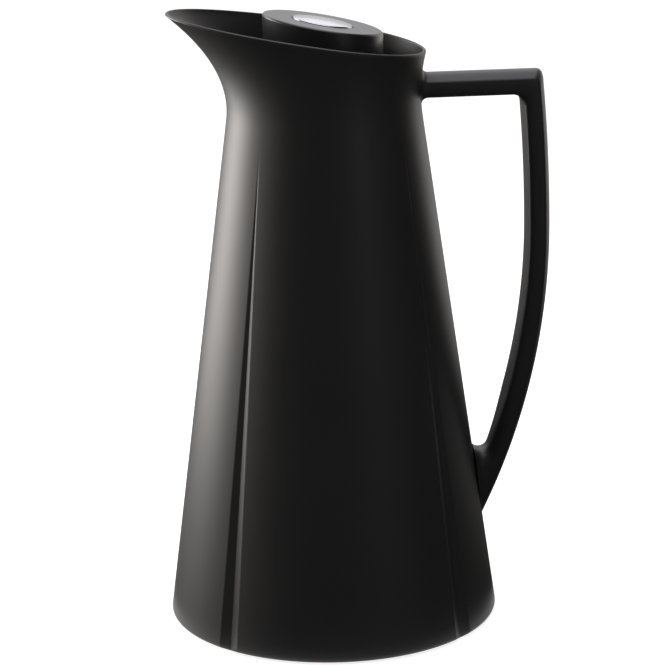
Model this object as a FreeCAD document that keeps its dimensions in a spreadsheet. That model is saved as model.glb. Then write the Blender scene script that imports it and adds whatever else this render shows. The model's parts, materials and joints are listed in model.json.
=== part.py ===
"""Thermal jug: conical casing with a drawn spout, a vacuum flask, a handle and a push-button stopper.

Frame: +Z up, origin on the jug's axis in the plane it stands on, spout towards -X and handle
towards +X. Lengths are in millimetres.
"""
import FreeCAD, Part
import math
import os
import Sketcher
from FreeCAD import Placement, Rotation, Vector

SIZES = (
    # Casing
    ("base_radius", 80.0, "casing radius carried down to the standing plane"),
    ("neck_radius", 46.4, "casing radius where the straight cone ends and the flare starts"),
    ("flare_height", 244.0, "height where the flare towards the rim starts"),
    ("spout_flare", 28.0, "tip of the spout beyond the neck's radius"),
    ("rear_flare", 2.0, "rim above the handle beyond the neck's radius"),
    ("side_flare", 0.6, "sides of the rim beyond the neck's radius"),
    ("rear_rise", 31.7, "rim above the handle over the start of the flare"),
    ("spout_rise", 20.3, "tip of the spout over the rim above the handle"),
    ("shell_wall", 3.4, "casing wall at the foot"),
    ("neck_wall", 2.4, "casing wall where the flare starts"),
    ("lip_wall", 1.0, "casing wall towards the rim"),
    ("foot_gap", 0.5, "gap between the casing's edge and the standing plane"),
    ("foot_round", 2.2, "rounding of the casing's lower edge"),
    ("edge_ring", 5.5, "flat ring of the casing around the base plate"),
    ("groove_width", 12.0, "width of a V-groove at the foot"),
    ("groove_depth", 2.1, "depth of a V-groove at the foot"),
    ("groove_stop", 8.0, "end of a V-groove below the start of the flare"),
    ("overrun", 5.0, "how far a cut runs past the material"),
    # Clearances
    ("fit", 0.3, "gap between two pieces of one body"),
    ("slide", 0.3, "gap between pieces that move past each other"),
    ("press_gap", 0.05, "gap of a tight or threaded fit"),
    # Base
    ("pad_thickness", 1.6, "non-slip pad"),
    ("pad_margin", 1.5, "edge of the base plate left free by the pad"),
    ("plate_thickness", 2.4, "base plate"),
    ("flange_thickness", 2.6, "casing's inner flange above the base plate"),
    ("flange_width", 12.5, "casing's inner flange from the base plate's edge to the opening"),
    ("entry_gap", 3.0, "room around the flask in the casing's lower opening"),
    ("ring_wall", 2.0, "locating ring on the base plate"),
    ("ring_height", 5.0, "locating ring on the base plate"),
    ("screw_radius", 1.5, "shank of every screw"),
    ("screw_head_radius", 2.8, "head of every screw"),
    ("screw_head_height", 1.6, "head of every screw"),
    ("base_screw_length", 9.0, "shank of a base screw above its head"),
    ("boss_wall", 2.6, "wall of a screw boss"),
    ("base_boss_height", 8.0, "screw boss on the casing's flange"),
    # Vacuum flask
    ("glass_wall", 2.0, "glass"),
    ("vacuum_gap", 4.0, "gap between the two flasks"),
    ("neck_gap", 1.6, "gap between the two flasks at the neck"),
    ("liner_dome", 15.0, "rise of the domed bottom"),
    ("shoulder_gap", 2.8, "least gap between flask and casing where the shoulder starts"),
    ("shoulder_rise", 56.0, "height of the shoulder"),
    ("neck_length", 35.6, "least length of the neck"),
    ("neck_bore", 21.5, "inner radius of the neck"),
    ("pip_radius", 3.5, "sealed pip under the outer flask"),
    ("pip_length", 7.0, "sealed pip under the outer flask"),
    ("spacer_radius", 5.0, "spacer pad between the flasks"),
    ("spacer_height", 60.0, "height of the spacer pads"),
    ("cushion_depth", 16.0, "cushion between base plate and flask"),
    ("cushion_margin", 10.0, "edge of the flask's bottom left free by the cushion"),
    ("cushion_bore_gap", 3.0, "room around the pip"),
    # Mouth
    ("collar_rise", 2.0, "top of the pour collar over the start of the flare"),
    ("collar_floor", 4.0, "thickness of the pour collar"),
    ("neck_seal_thickness", 2.4, "ring between flask and collar"),
    ("skirt_length", 16.0, "collar skirt around the neck"),
    ("skirt_wall", 2.4, "collar skirt around the neck"),
    ("gasket_height", 2.0, "gasket in the collar's edge"),
    ("gasket_depth", 1.6, "gasket in the collar's edge"),
    # Stopper
    ("head_radius", 28.2, "lid and cup of the stopper"),
    ("lid_rise", 19.2, "top of the lid on the axis over the cup"),
    ("lid_slant", 10.4, "front edge of the lid above its rear edge"),
    ("lid_round", 1.4, "rounded edge of the lid"),
    ("lid_wall", 2.4, "wall of the lid"),
    ("cup_height", 24.0, "cup of the stopper"),
    ("cup_floor", 3.0, "floor of the cup"),
    ("cup_wall", 2.2, "wall of the cup"),
    ("spigot_height", 4.0, "spigot that the lid snaps on"),
    ("spigot_wall", 1.8, "spigot that the lid snaps on"),
    ("ledge", 2.0, "ledge that carries the spigot"),
    ("port_width", 12.0, "pouring window"),
    ("port_height", 10.0, "pouring window"),
    ("plug_gap", 2.1, "gap between plug and neck"),
    ("plug_wall", 2.8, "plug in the neck"),
    ("plug_length", 40.0, "plug below the cup"),
    ("seat_lip", 2.6, "valve seat inside the plug's end"),
    ("seat_thickness", 2.4, "valve seat inside the plug's end"),
    ("seal_drop", 10.0, "stopper seal below the cup"),
    ("seal_height", 6.0, "stopper seal"),
    ("seal_groove", 1.2, "depth of the seal's groove"),
    ("flow_radius", 3.8, "flow hole in the cup's floor"),
    ("flow_margin", 1.0, "flow hole to plug wall"),
    # Button and valve
    ("button_radius", 14.0, "metal cap"),
    ("button_crown", 1.2, "crown of the metal cap"),
    ("button_proud", 0.5, "edge of the cap above the lid"),
    ("button_round", 0.8, "edge of the metal cap"),
    ("button_wall", 1.4, "skirt and roof of the metal cap"),
    ("guide_wall", 1.8, "guide tube in the lid"),
    ("guide_length", 18.0, "guide tube below the lid's top"),
    ("plunger_flange", 2.4, "flange of the plunger"),
    ("socket_depth", 9.0, "stem in the plunger"),
    ("stem_radius", 2.5, "valve stem"),
    ("stem_end_radius", 2.0, "threaded end of the stem"),
    ("stem_end_spare", 1.0, "stem showing below the nut"),
    ("bush_wall", 1.8, "stem bush"),
    ("bush_drop", 2.0, "stem bush below the cup's floor"),
    ("bush_flange", 1.2, "flange of the bush, seat of the spring"),
    ("spring_radius", 6.2, "middle of the spring's wire"),
    ("wire_radius", 0.6, "wire of the spring"),
    ("valve_margin", 1.2, "edge of the plug's end left free by the valve"),
    ("valve_boss_radius", 10.0, "boss that centres the gasket"),
    ("valve_thickness", 3.2, "valve disc"),
    ("valve_gasket_thickness", 2.4, "valve gasket"),
    ("nut_radius", 4.6, "corner radius of the stem nut"),
    ("nut_height", 4.0, "stem nut"),
    # Handle
    ("handle_width", 20.0, "width of the handle across the grip"),
    ("handle_depth", 10.9, "thickness of bar and grip"),
    ("handle_crown", 3.5, "crown of the outer side"),
    ("handle_edge", 2.4, "rounding along the inner edges"),
    ("bar_drop", 11.7, "top of the level bar below the rim"),
    ("grip_stand", 27.45, "farthest point of the grip beyond the foot's radius"),
    ("grip_drop", 76.3, "that point below the top of the bar"),
    ("grip_upper_radius", 800.0, "outer bend of the grip above that point"),
    ("grip_lower_radius", 325.0, "outer bend of the grip below that point"),
    ("grip_inner_radius", 315.0, "inner bend of the grip below that point"),
    ("corner_fillet", 6.0, "inner corner between bar and grip"),
    ("notch_drop", 112.6, "lowest point of the finger gap below the farthest point of the grip"),
    ("foot_drop", 36.7, "lowest point of the grip below the finger gap"),
    ("peg_radius", 2.0, "locating peg of the bar"),
    ("peg_length", 1.2, "locating peg in the casing's wall"),
    ("peg_spread", 10.0, "distance between the pegs"),
    ("handle_screw_drop", 16.7, "handle screws below the finger gap"),
    ("handle_screw_spread", 10.0, "distance between the handle screws"),
    ("handle_screw_cover", 4.05, "grip in front of a handle screw's end"),
    ("handle_boss_rise", 1.5, "screw boss inside the casing's wall"),
)

GROOVE_COUNT = 4
GROOVE_TURN = 45.0
BASE_SCREW_COUNT = 4
FLOW_HOLE_COUNT = 6
PORT_TURNS = (-38.0, 0.0, 38.0)
SPACER_COUNT = 3
SPRING_TURNS = 6
ROUND_POINTS = 60
SAME_PLACE = 1e-4


class Size:
    """A length with the sheet expression that keeps a feature bound to it."""

    def __init__(self, value, text):
        self.value = value
        self.text = text

    @staticmethod
    def of(other):
        return other if isinstance(other, Size) else Size(float(other), repr(float(other)))

    def _join(self, sign, value, other):
        return Size(value, f"({self.text} {sign} {Size.of(other).text})")

    def __add__(self, other):
        return self._join("+", self.value + Size.of(other).value, other)

    def __sub__(self, other):
        return self._join("-", self.value - Size.of(other).value, other)

    def __mul__(self, other):
        return self._join("*", self.value * Size.of(other).value, other)

    def __truediv__(self, other):
        return self._join("/", self.value / Size.of(other).value, other)

    def __neg__(self):
        return Size.of(0) - self

    def root(self):
        return Size(math.sqrt(self.value), f"sqrt({self.text})")

    def least(self, other):
        return Size(min(self.value, other.value), f"min({self.text}; {other.text})")


class SizeSheet:
    """The document's spreadsheet, with each alias as an attribute that holds its Size."""

    def __init__(self, document):
        sheet = document.addObject("Spreadsheet::Sheet", "sizes")
        for row, (alias, value, note) in enumerate(SIZES, start=1):
            sheet.set(f"A{row}", note)
            sheet.set(f"B{row}", str(value))
            sheet.setAlias(f"B{row}", alias)
        document.recompute()
        for alias, _, _ in SIZES:
            setattr(self, alias, Size(float(sheet.get(alias)), f"sizes.{alias}"))


doc = FreeCAD.newDocument("thermal_jug")
s = SizeSheet(doc)
zero = Size.of(0)

# Heights and radii that several pieces share
rear_height = s.flare_height + s.rear_rise
spout_height = rear_height + s.spout_rise
spout_reach = s.neck_radius + s.spout_flare
rear_reach = s.neck_radius + s.rear_flare
mouth_half_width = s.neck_radius + s.side_flare
casing_foot_inside = s.base_radius - s.shell_wall
casing_neck_inside = s.neck_radius - s.neck_wall

plate_bottom = s.pad_thickness
plate_top = plate_bottom + s.plate_thickness
flange_top = plate_top + s.flange_thickness
plate_recess_radius = s.base_radius - s.foot_round - s.edge_ring
plate_radius = plate_recess_radius - s.fit
opening_radius = plate_recess_radius - s.flange_width
base_screw_circle = (opening_radius + plate_radius) / 2
boss_radius = s.screw_radius + s.boss_wall

collar_height = s.flare_height + s.collar_rise
collar_bottom = collar_height - s.collar_floor
neck_top = collar_bottom - s.neck_seal_thickness
liner_floor = plate_top + s.cushion_depth
liner_radius = opening_radius - s.entry_gap
liner_dome_radius = (liner_radius * liner_radius + s.liner_dome * s.liner_dome) / (s.liner_dome * 2)
inner_flask_radius = liner_radius - s.glass_wall - s.vacuum_gap
neck_inner_wall = s.neck_bore + s.glass_wall
neck_outer_radius = neck_inner_wall + s.neck_gap + s.glass_wall
cushion_radius = liner_radius - s.cushion_margin
casing_fall = (casing_foot_inside - casing_neck_inside) / s.flare_height
widest_height = (casing_foot_inside - liner_radius - s.shoulder_gap) / casing_fall
shoulder_height = widest_height.least(neck_top - s.neck_length - s.shoulder_rise)
neck_foot = shoulder_height + s.shoulder_rise

lid_fall = s.lid_slant / (s.head_radius * 2)
cup_bottom = collar_height + s.slide
cup_floor_top = cup_bottom + s.cup_floor
cup_top = cup_bottom + s.cup_height
plug_bottom = cup_bottom - s.plug_length
plug_radius = s.neck_bore - s.plug_gap
plug_inner_radius = plug_radius - s.plug_wall
valve_radius = plug_radius - s.valve_margin
lid_height = cup_top + s.lid_rise
seal_top = cup_bottom - s.seal_drop
seal_bottom = seal_top - s.seal_height
bush_radius = s.stem_radius + s.bush_wall
button_bore_radius = s.button_radius + s.slide
guide_bottom = lid_height - s.guide_length
plunger_top_face = guide_bottom - s.slide
plunger_bottom = plunger_top_face - s.plunger_flange
cap_roof = lid_height - lid_fall * s.button_radius - s.button_wall
socket_top = plunger_bottom + s.socket_depth
spring_bottom = cup_floor_top + s.bush_flange
valve_top = plug_bottom - s.valve_gasket_thickness
valve_bottom = valve_top - s.valve_thickness
stem_shoulder = plug_bottom - s.fit

bar_top = rear_height - s.bar_drop
bar_bottom = bar_top - s.handle_depth
bar_middle = bar_top - (s.handle_depth + s.handle_crown) / 2
half_width = s.handle_width / 2
grip_reach = s.base_radius + s.grip_stand
grip_height = bar_top - s.grip_drop
notch_height = grip_height - s.notch_drop
handle_foot = notch_height - s.foot_drop
handle_screw_height = notch_height - s.handle_screw_drop


def casing_radius(height):
    """Outer radius of the straight cone, carried on above it."""
    return s.base_radius - (s.base_radius - s.neck_radius) * height / s.flare_height


def casing_inner_radius(height):
    """Inner radius of the straight cone, carried on above it."""
    return casing_foot_inside - casing_fall * height


def casing_rear_radius(height):
    """Outer radius of the flare on the handle's side."""
    rate = rear_reach - casing_radius(rear_height)
    share = (height - s.flare_height) / (rear_height - s.flare_height)
    return casing_radius(height) + rate * share * share


def liner_dome_height(radius, gap=zero):
    """Height of the outer flask's domed underside at a radius, lowered by a gap."""
    reach = liner_dome_radius + gap
    return liner_floor + liner_dome_radius - (reach * reach - radius * radius).root()


# Building blocks


def bind(target, name, size):
    target.setExpression(name, Size.of(size).text)


def origin_part(body, role):
    return next(item for item in body.Origin.OriginFeatures if item.Role == role)


def new_body(label, base=None):
    body = doc.addObject("PartDesign::Body", label)
    if base is not None:
        body.BaseFeature = base
    return body


def new_sketch(body, label, role, offset=zero, turn=0.0):
    """Sketch on one of the body's origin planes, moved along the plane's normal."""
    sketch = body.newObject("Sketcher::SketchObject", label)
    sketch.AttachmentSupport = (origin_part(body, role), [""])
    sketch.MapMode = "FlatFace"
    sketch.AttachmentOffset = Placement(Vector(), Rotation(Vector(0, 0, 1), turn))
    bind(sketch, "AttachmentOffset.Base.z", offset)
    return sketch


def pin_point(sketch, name, geometry, point, across, up):
    """Hold one point of a sketch at its place, measured from the sketch's origin."""
    for kind, axis, size in (("DistanceX", -2, Size.of(across)), ("DistanceY", -1, Size.of(up))):
        if size.text == zero.text:
            sketch.addConstraint(Sketcher.Constraint("PointOnObject", geometry, point, axis))
            continue
        index = sketch.addConstraint(Sketcher.Constraint(kind, -1, 1, geometry, point, size.value))
        sketch.renameConstraint(index, f"{name}_{kind[-1].lower()}")
        bind(sketch, f"Constraints.{name}_{kind[-1].lower()}", size)


def arc_between(start, end, bend):
    """Arc of under a half circle; a positive bend has its centre left of the way from start to end."""
    chord = end - start
    radius = abs(bend)
    rise = math.sqrt(radius ** 2 - (chord.Length / 2) ** 2)
    left = Vector(-chord.y, chord.x, 0).normalize()
    centre = (start + end) / 2 + left * math.copysign(rise, bend)
    first, last = (start, end) if bend > 0 else (end, start)
    angles = [math.atan2(point.y - centre.y, point.x - centre.x) for point in (first, last)]
    return Part.ArcOfCircle(Part.Circle(centre, Vector(0, 0, 1), radius), *angles)


def draw_outline(sketch, corners):
    """Closed outline of (across, up) corners; a third value bends the edge that leads to a corner."""
    points = [Vector(Size.of(corner[0]).value, Size.of(corner[1]).value, 0) for corner in corners]
    ends = []
    for index, corner in enumerate(corners):
        start, end = points[index - 1], points[index]
        if len(corner) == 3:
            geometry = sketch.addGeometry(arc_between(start, end, corner[2].value), False)
            ends.append((geometry, 1, 2) if corner[2].value > 0 else (geometry, 2, 1))
        else:
            geometry = sketch.addGeometry(Part.LineSegment(start, end), False)
            ends.append((geometry, 1, 2))
    for index, (geometry, start, end) in enumerate(ends):
        previous = ends[index - 1]
        sketch.addConstraint(Sketcher.Constraint("Coincident", previous[0], previous[2], geometry, start))
    for index, corner in enumerate(corners):
        geometry, start, end = ends[index]
        pin_point(sketch, f"corner{index}", geometry, end, corner[0], corner[1])
        if len(corner) == 3:
            radius = corner[2] if corner[2].value > 0 else -corner[2]
            held = sketch.addConstraint(Sketcher.Constraint("Radius", geometry, radius.value))
            sketch.renameConstraint(held, f"bend{index}")
            bind(sketch, f"Constraints.bend{index}", radius)


def draw_circle(sketch, across, up, radius, name="circle"):
    centre = Vector(Size.of(across).value, Size.of(up).value, 0)
    geometry = sketch.addGeometry(Part.Circle(centre, Vector(0, 0, 1), radius.value), False)
    pin_point(sketch, name, geometry, 3, across, up)
    held = sketch.addConstraint(Sketcher.Constraint("Radius", geometry, radius.value))
    sketch.renameConstraint(held, f"{name}_radius")
    bind(sketch, f"Constraints.{name}_radius", radius)


def turned_body(label, corners):
    """Body turned about Z from an outline of (radius, height) corners."""
    body = new_body(label)
    sketch = new_sketch(body, f"{label}_outline", "XZ_Plane")
    draw_outline(sketch, corners)
    turn = body.newObject("PartDesign::Revolution", f"{label}_turn")
    turn.Profile = sketch
    turn.ReferenceAxis = (sketch, ["V_Axis"])
    turn.Angle = 360.0
    doc.recompute()
    return body


def pad(body, sketch, length):
    feature = body.newObject("PartDesign::Pad", f"{sketch.Name}_pad")
    feature.Profile = sketch
    bind(feature, "Length", length)
    doc.recompute()
    return feature


def pocket(body, sketch, length=None, reverse=False, both_sides=False):
    """Cut a sketch out of a body and make sure that it removed material."""
    before = body.Shape
    feature = body.newObject("PartDesign::Pocket", f"{sketch.Name}_pocket")
    feature.Profile = sketch
    feature.Reversed = reverse
    if both_sides:
        feature.SideType = "Symmetric"
    if length is None:
        feature.Type = "ThroughAll"
    else:
        bind(feature, "Length", length)
    doc.recompute()
    if body.Shape.Volume >= before.Volume and len(body.Shape.Faces) == len(before.Faces):
        raise RuntimeError(f"{feature.Name} cuts nothing")
    return feature


def repeat_round(body, feature, count):
    pattern = body.newObject("PartDesign::PolarPattern", f"{feature.Name}_ring")
    pattern.Originals = [feature]
    pattern.Axis = (origin_part(body, "Z_Axis"), [""])
    pattern.Angle = 360.0
    pattern.Occurrences = count
    body.Tip = pattern
    doc.recompute()


def round_edges(body, label, radius, chosen):
    """Fillet the edges of a body that a test picks out."""
    names = [f"Edge{number}" for number, edge in enumerate(body.Shape.Edges, start=1) if chosen(edge)]
    if not names:
        raise RuntimeError(f"{label} finds no edge")
    base = body.Tip
    feature = body.newObject("PartDesign::Fillet", label)
    feature.Base = (base, names)
    bind(feature, "Radius", radius)
    body.Tip = feature
    doc.recompute()


def cylinder(label, radius, height, base=(zero, zero, zero), rotation=None):
    """Part cylinder from a base point; the rotation turns its axis away from +Z."""
    item = doc.addObject("Part::Cylinder", label)
    bind(item, "Radius", radius)
    bind(item, "Height", height)
    item.Placement = Placement(Vector(), rotation or Rotation())
    for axis, size in zip("xyz", base):
        bind(item, f"Placement.Base.{axis}", size)
    return item


def along_x(turn=0.0):
    """Rotation that lays a cylinder's axis level, pointing at an angle from +X."""
    return Rotation(Vector(0, 0, 1), turn) * Rotation(Vector(0, 1, 0), 90)


def ring_places(radius, count, start=0.0):
    """Angle and (x, y) of evenly spaced places on a circle."""
    for index in range(count):
        angle = start + 360.0 * index / count
        yield angle, radius * math.cos(math.radians(angle)), radius * math.sin(math.radians(angle))


def combine(kind, label, first, second):
    item = doc.addObject(f"Part::{kind}", label)
    item.Base = first
    item.Tool = second
    return item


def fused(label, items):
    item = doc.addObject("Part::MultiFuse", label)
    item.Shapes = items
    return item


def grouped(label, items):
    item = doc.addObject("Part::Compound", label)
    item.Links = items
    return item


# Casing


def rim_radius(angle):
    """Plan of the rim: half ellipses to the spout and to the rear that share the mouth's width."""
    reach = spout_reach.value if math.cos(angle) < 0 else rear_reach.value
    along = math.cos(angle) / reach
    across = math.sin(angle) / mouth_half_width.value
    return 1 / math.hypot(along, across)


def rim_height(x):
    """Slanted plane of the rim; x may be a number or a Size."""
    fall = (spout_height - rear_height) / (spout_reach + rear_reach)
    return spout_height - fall * (spout_reach + x)


def flared_radius(angle, height):
    """Radius above the cone: the cone's line plus a parabola that meets the rim."""
    reach = rim_radius(angle)
    edge = rim_height(reach * math.cos(angle)).value
    spread = reach - casing_radius(Size.of(edge)).value
    share = (height - s.flare_height.value) / (edge - s.flare_height.value)
    return casing_radius(Size.of(height)).value + spread * share ** 2


def jug_form(label, low, cone, lip_inset):
    """Closed solid from a low plane to above the rim, round in the cone and egg-shaped above it.

    The side is one surface of degree two in height: straight up to the flare, then a parabola
    that leaves the cone without a break.
    """
    top = (spout_height + s.overrun).value
    start, flare = low.value, s.flare_height.value
    heights = (start, (start + flare) / 2, (flare + top) / 2, top)
    angles = [2 * math.pi * index / ROUND_POINTS for index in range(ROUND_POINTS)]
    rows = []
    for height in heights[:-1]:
        rows.append([cone(Size.of(height)).value] * ROUND_POINTS)
    rows.append([flared_radius(angle, top) - lip_inset.value for angle in angles])
    curves = []
    for height, row in zip(heights, rows):
        points = [
            Vector(radius * math.cos(angle), radius * math.sin(angle), height)
            for radius, angle in zip(row, angles)
        ]
        curve = Part.BSplineCurve()
        steps = [index / ROUND_POINTS for index in range(ROUND_POINTS + 1)]
        curve.interpolate(Points=points, PeriodicFlag=True, Parameters=steps)
        curves.append(curve)
    poles = [list(column) for column in zip(*(curve.getPoles() for curve in curves))]
    side = Part.BSplineSurface()
    side.buildFromPolesMultsKnots(
        poles, curves[0].getMultiplicities(), [3, 1, 3], curves[0].getKnots(),
        [0.0, (flare - start) / (top - start), 1.0], True, False, curves[0].Degree, 2,
    )
    skin = side.toShape()
    rings = [edge for edge in skin.Edges if edge.BoundBox.ZLength < SAME_PLACE]
    shell = Part.makeShell([skin] + [Part.Face(Part.Wire([edge])) for edge in rings])
    shell.sewShape()
    solid = Part.makeSolid(shell)
    if solid.Volume < 0:
        solid.reverse()
    item = doc.addObject("Part::Feature", label)
    item.Shape = solid
    return item


def cut_grooves(body):
    """Four V-grooves, each cut along a straight line that leaves the cone at the groove's top."""
    sketch = new_sketch(body, "groove_outline", "XY_Plane", turn=GROOVE_TURN)
    ridge = s.base_radius - s.groove_depth
    reach = s.groove_depth + s.overrun
    spread = s.groove_width / 2 * reach / s.groove_depth
    draw_outline(sketch, [(ridge, zero), (ridge + reach, -spread), (ridge + reach, spread)])
    before = body.Shape.Volume
    feature = body.newObject("PartDesign::Pocket", "groove_cut")
    feature.Profile = sketch
    feature.UseCustomVector = True
    top = s.flare_height - s.groove_stop
    lean = casing_radius(top) - ridge
    bind(feature, "Direction.x", lean * math.cos(math.radians(GROOVE_TURN)))
    bind(feature, "Direction.y", lean * math.sin(math.radians(GROOVE_TURN)))
    bind(feature, "Direction.z", top)
    feature.AlongSketchNormal = True
    bind(feature, "Length", top)
    doc.recompute()
    if body.Shape.Volume >= before:
        raise RuntimeError("the groove cuts nothing")
    repeat_round(body, feature, GROOVE_COUNT)


def cut_rim(body):
    """Cut the mouth off along the slanted plane of the rim."""
    sketch = new_sketch(body, "rim_cut", "XZ_Plane")
    front = -spout_reach * 2
    rear = spout_reach * 2
    above = rim_height(front) + s.overrun
    draw_outline(sketch, [
        (front, rim_height(front)),
        (rear, rim_height(rear)),
        (rear, above),
        (front, above),
    ])
    pocket(body, sketch, both_sides=True)


def cut_base_seat(body):
    """Opening that the flask enters by, and the recess of the base plate around it."""
    opening = new_sketch(body, "base_opening", "XY_Plane")
    draw_circle(opening, zero, zero, opening_radius)
    pocket(body, opening, flange_top + s.overrun, reverse=True)
    recess = new_sketch(body, "plate_recess", "XY_Plane")
    draw_circle(recess, zero, zero, plate_recess_radius)
    pocket(body, recess, plate_top, reverse=True)


def add_base_bosses(body):
    """Screw bosses on the casing's flange, with their pilot holes."""
    boss = new_sketch(body, "base_boss", "XY_Plane", plate_top)
    draw_circle(boss, base_screw_circle, zero, boss_radius)
    repeat_round(body, pad(body, boss, s.flange_thickness + s.base_boss_height), BASE_SCREW_COUNT)
    pilot = new_sketch(body, "base_pilot", "XY_Plane", plate_bottom)
    draw_circle(pilot, base_screw_circle, zero, s.screw_radius + s.press_gap)
    depth = s.screw_head_height + s.base_screw_length + s.fit
    repeat_round(body, pocket(body, pilot, depth, reverse=True), BASE_SCREW_COUNT)


def handle_screw_seat():
    """Inner face of the boss that a handle screw's head sits on."""
    return casing_inner_radius(handle_screw_height) - s.handle_boss_rise


def on_grip_arc(centre, radius, height):
    """Place along X of an arc of the grip, whose centre is level with the grip's farthest point."""
    rise = height - grip_height
    return centre + (radius * radius - rise * rise).root()


def handle_screw_length():
    grip_face = on_grip_arc(grip_reach - s.grip_lower_radius, s.grip_lower_radius, handle_screw_height)
    return grip_face - s.handle_screw_cover - handle_screw_seat()


def handle_screw_sides():
    return (-s.handle_screw_spread / 2, s.handle_screw_spread / 2)


def peg_sides():
    return (-s.peg_spread / 2, s.peg_spread / 2)


def peg_tip():
    return casing_rear_radius(bar_middle) - s.peg_length


def cut_handle_seats(body):
    """Bosses and holes for the handle's screws, and blind holes for its pegs."""
    boss = new_sketch(body, "handle_boss", "YZ_Plane", handle_screw_seat())
    hole = new_sketch(body, "handle_hole", "YZ_Plane", handle_screw_seat())
    peg = new_sketch(body, "peg_hole", "YZ_Plane", peg_tip() - s.fit)
    for index, side in enumerate(handle_screw_sides()):
        draw_circle(boss, side, handle_screw_height, boss_radius, f"boss{index}")
        draw_circle(hole, side, handle_screw_height, s.screw_radius + s.press_gap, f"hole{index}")
    for index, side in enumerate(peg_sides()):
        draw_circle(peg, side, bar_middle, s.peg_radius + s.press_gap, f"peg{index}")
    pad(body, boss, s.handle_boss_rise + s.shell_wall / 2)
    pocket(body, hole, s.handle_boss_rise + s.shell_wall + s.overrun, reverse=True)
    pocket(body, peg, s.peg_length + s.overrun, reverse=True)


def is_foot_edge(edge):
    return abs(edge.BoundBox.ZMax - s.foot_gap.value) < SAME_PLACE


def make_outer_shell():
    outside = jug_form("casing_outside", s.foot_gap, casing_radius, zero)
    inside = jug_form("casing_inside", flange_top, casing_inner_radius, s.lip_wall)
    body = new_body("outer_shell", combine("Cut", "casing_blank", outside, inside))
    doc.recompute()
    round_edges(body, "foot_rounding", s.foot_round, is_foot_edge)
    cut_grooves(body)
    cut_rim(body)
    cut_base_seat(body)
    add_base_bosses(body)
    cut_handle_seats(body)
    return body


# Handle


def handle_outline(inset):
    """Side view of the handle, with its outer side set back by an inset."""
    upper_centre = grip_reach - s.grip_upper_radius
    upper = s.grip_upper_radius - inset
    lower = s.grip_lower_radius - inset
    top = bar_top - inset
    inner_reach = grip_reach - s.handle_depth
    inner_upper = s.grip_upper_radius - s.handle_depth
    root_x = s.neck_radius / 2
    corner_x = on_grip_arc(upper_centre, upper, top)
    foot_end = on_grip_arc(grip_reach - s.grip_lower_radius, lower, handle_foot)
    notch_x = on_grip_arc(inner_reach - s.grip_inner_radius, s.grip_inner_radius, notch_height)
    inner_end = bar_bottom - s.corner_fillet
    inner_x = on_grip_arc(upper_centre, inner_upper, inner_end)
    return [
        (root_x, top),
        (corner_x, top),
        (grip_reach - inset, grip_height, -upper),
        (foot_end, handle_foot, -lower),
        (root_x, handle_foot),
        (root_x, notch_height),
        (notch_x, notch_height),
        (inner_reach, grip_height, s.grip_inner_radius),
        (inner_x, inner_end, inner_upper),
        (inner_x - s.corner_fillet, bar_bottom, s.corner_fillet),
        (root_x, bar_bottom),
    ]


def is_inner_handle_edge(edge):
    """Edges of the handle's flat sides that face the casing."""
    box = edge.BoundBox
    lies_flat = box.YLength < SAME_PLACE and abs(abs(box.YMin) - half_width.value) < SAME_PLACE
    above_notch = box.ZMin > notch_height.value - SAME_PLACE
    below_bar = box.ZMax < bar_bottom.value + SAME_PLACE
    return lies_flat and above_notch and below_bar


def make_handle():
    """Bar and grip lofted across the width, so that the outer side is crowned, and cut to the casing."""
    blank = new_body("handle_blank")
    places = ((-half_width, s.handle_crown), (zero, zero), (half_width, s.handle_crown))
    sketches = []
    for index, (side, inset) in enumerate(places):
        sketch = new_sketch(blank, f"handle_section{index}", "XZ_Plane", side)
        draw_outline(sketch, handle_outline(inset))
        sketches.append(sketch)
    loft = blank.newObject("PartDesign::AdditiveLoft", "handle_loft")
    loft.Profile = sketches[0]
    loft.Sections = sketches[1:]
    doc.recompute()
    round_edges(blank, "handle_rounding", s.handle_edge, is_inner_handle_edge)
    outside = jug_form("handle_trim", handle_foot - s.overrun, casing_radius, zero)
    trimmed = combine("Cut", "handle_trimmed", blank, outside)
    pegs = [
        cylinder(
            f"peg{index}", s.peg_radius, s.peg_length + s.overrun,
            (peg_tip(), side, bar_middle), along_x(),
        )
        for index, side in enumerate(peg_sides())
    ]
    pilots = [
        cylinder(
            f"handle_pilot{index}", s.screw_radius + s.press_gap, handle_screw_length() + s.fit,
            (handle_screw_seat(), side, handle_screw_height), along_x(),
        )
        for index, side in enumerate(handle_screw_sides())
    ]
    pegged = fused("handle_pegged", [trimmed] + pegs)
    handle = combine("Cut", "handle", pegged, fused("handle_pilots", pilots))
    doc.recompute()
    return handle


def make_handle_screws():
    screws = []
    for index, side in enumerate(handle_screw_sides()):
        seat = handle_screw_seat()
        base = (seat - s.screw_head_height, side, handle_screw_height)
        head = cylinder(
            f"handle_screw_head{index}", s.screw_head_radius, s.screw_head_height,
            base, along_x(),
        )
        shank = cylinder(
            f"handle_screw_shank{index}", s.screw_radius, s.screw_head_height + handle_screw_length(),
            base, along_x(),
        )
        screws.append(fused(f"handle_screw{index}", [head, shank]))
    return grouped("handle_screws", screws)


# Base


def countersunk_screw(label, x, y, gap):
    """Screw with its flush head down, or its hole when a gap is added."""
    head = doc.addObject("Part::Cone", f"{label}_head")
    bind(head, "Radius1", s.screw_head_radius + gap)
    bind(head, "Radius2", s.screw_radius + gap)
    bind(head, "Height", s.screw_head_height)
    for axis, size in zip("xyz", (x, y, plate_bottom)):
        bind(head, f"Placement.Base.{axis}", size)
    length = s.screw_head_height + s.base_screw_length
    shank = cylinder(f"{label}_shank", s.screw_radius + gap, length, (x, y, plate_bottom))
    return fused(label, [head, shank])


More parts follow.
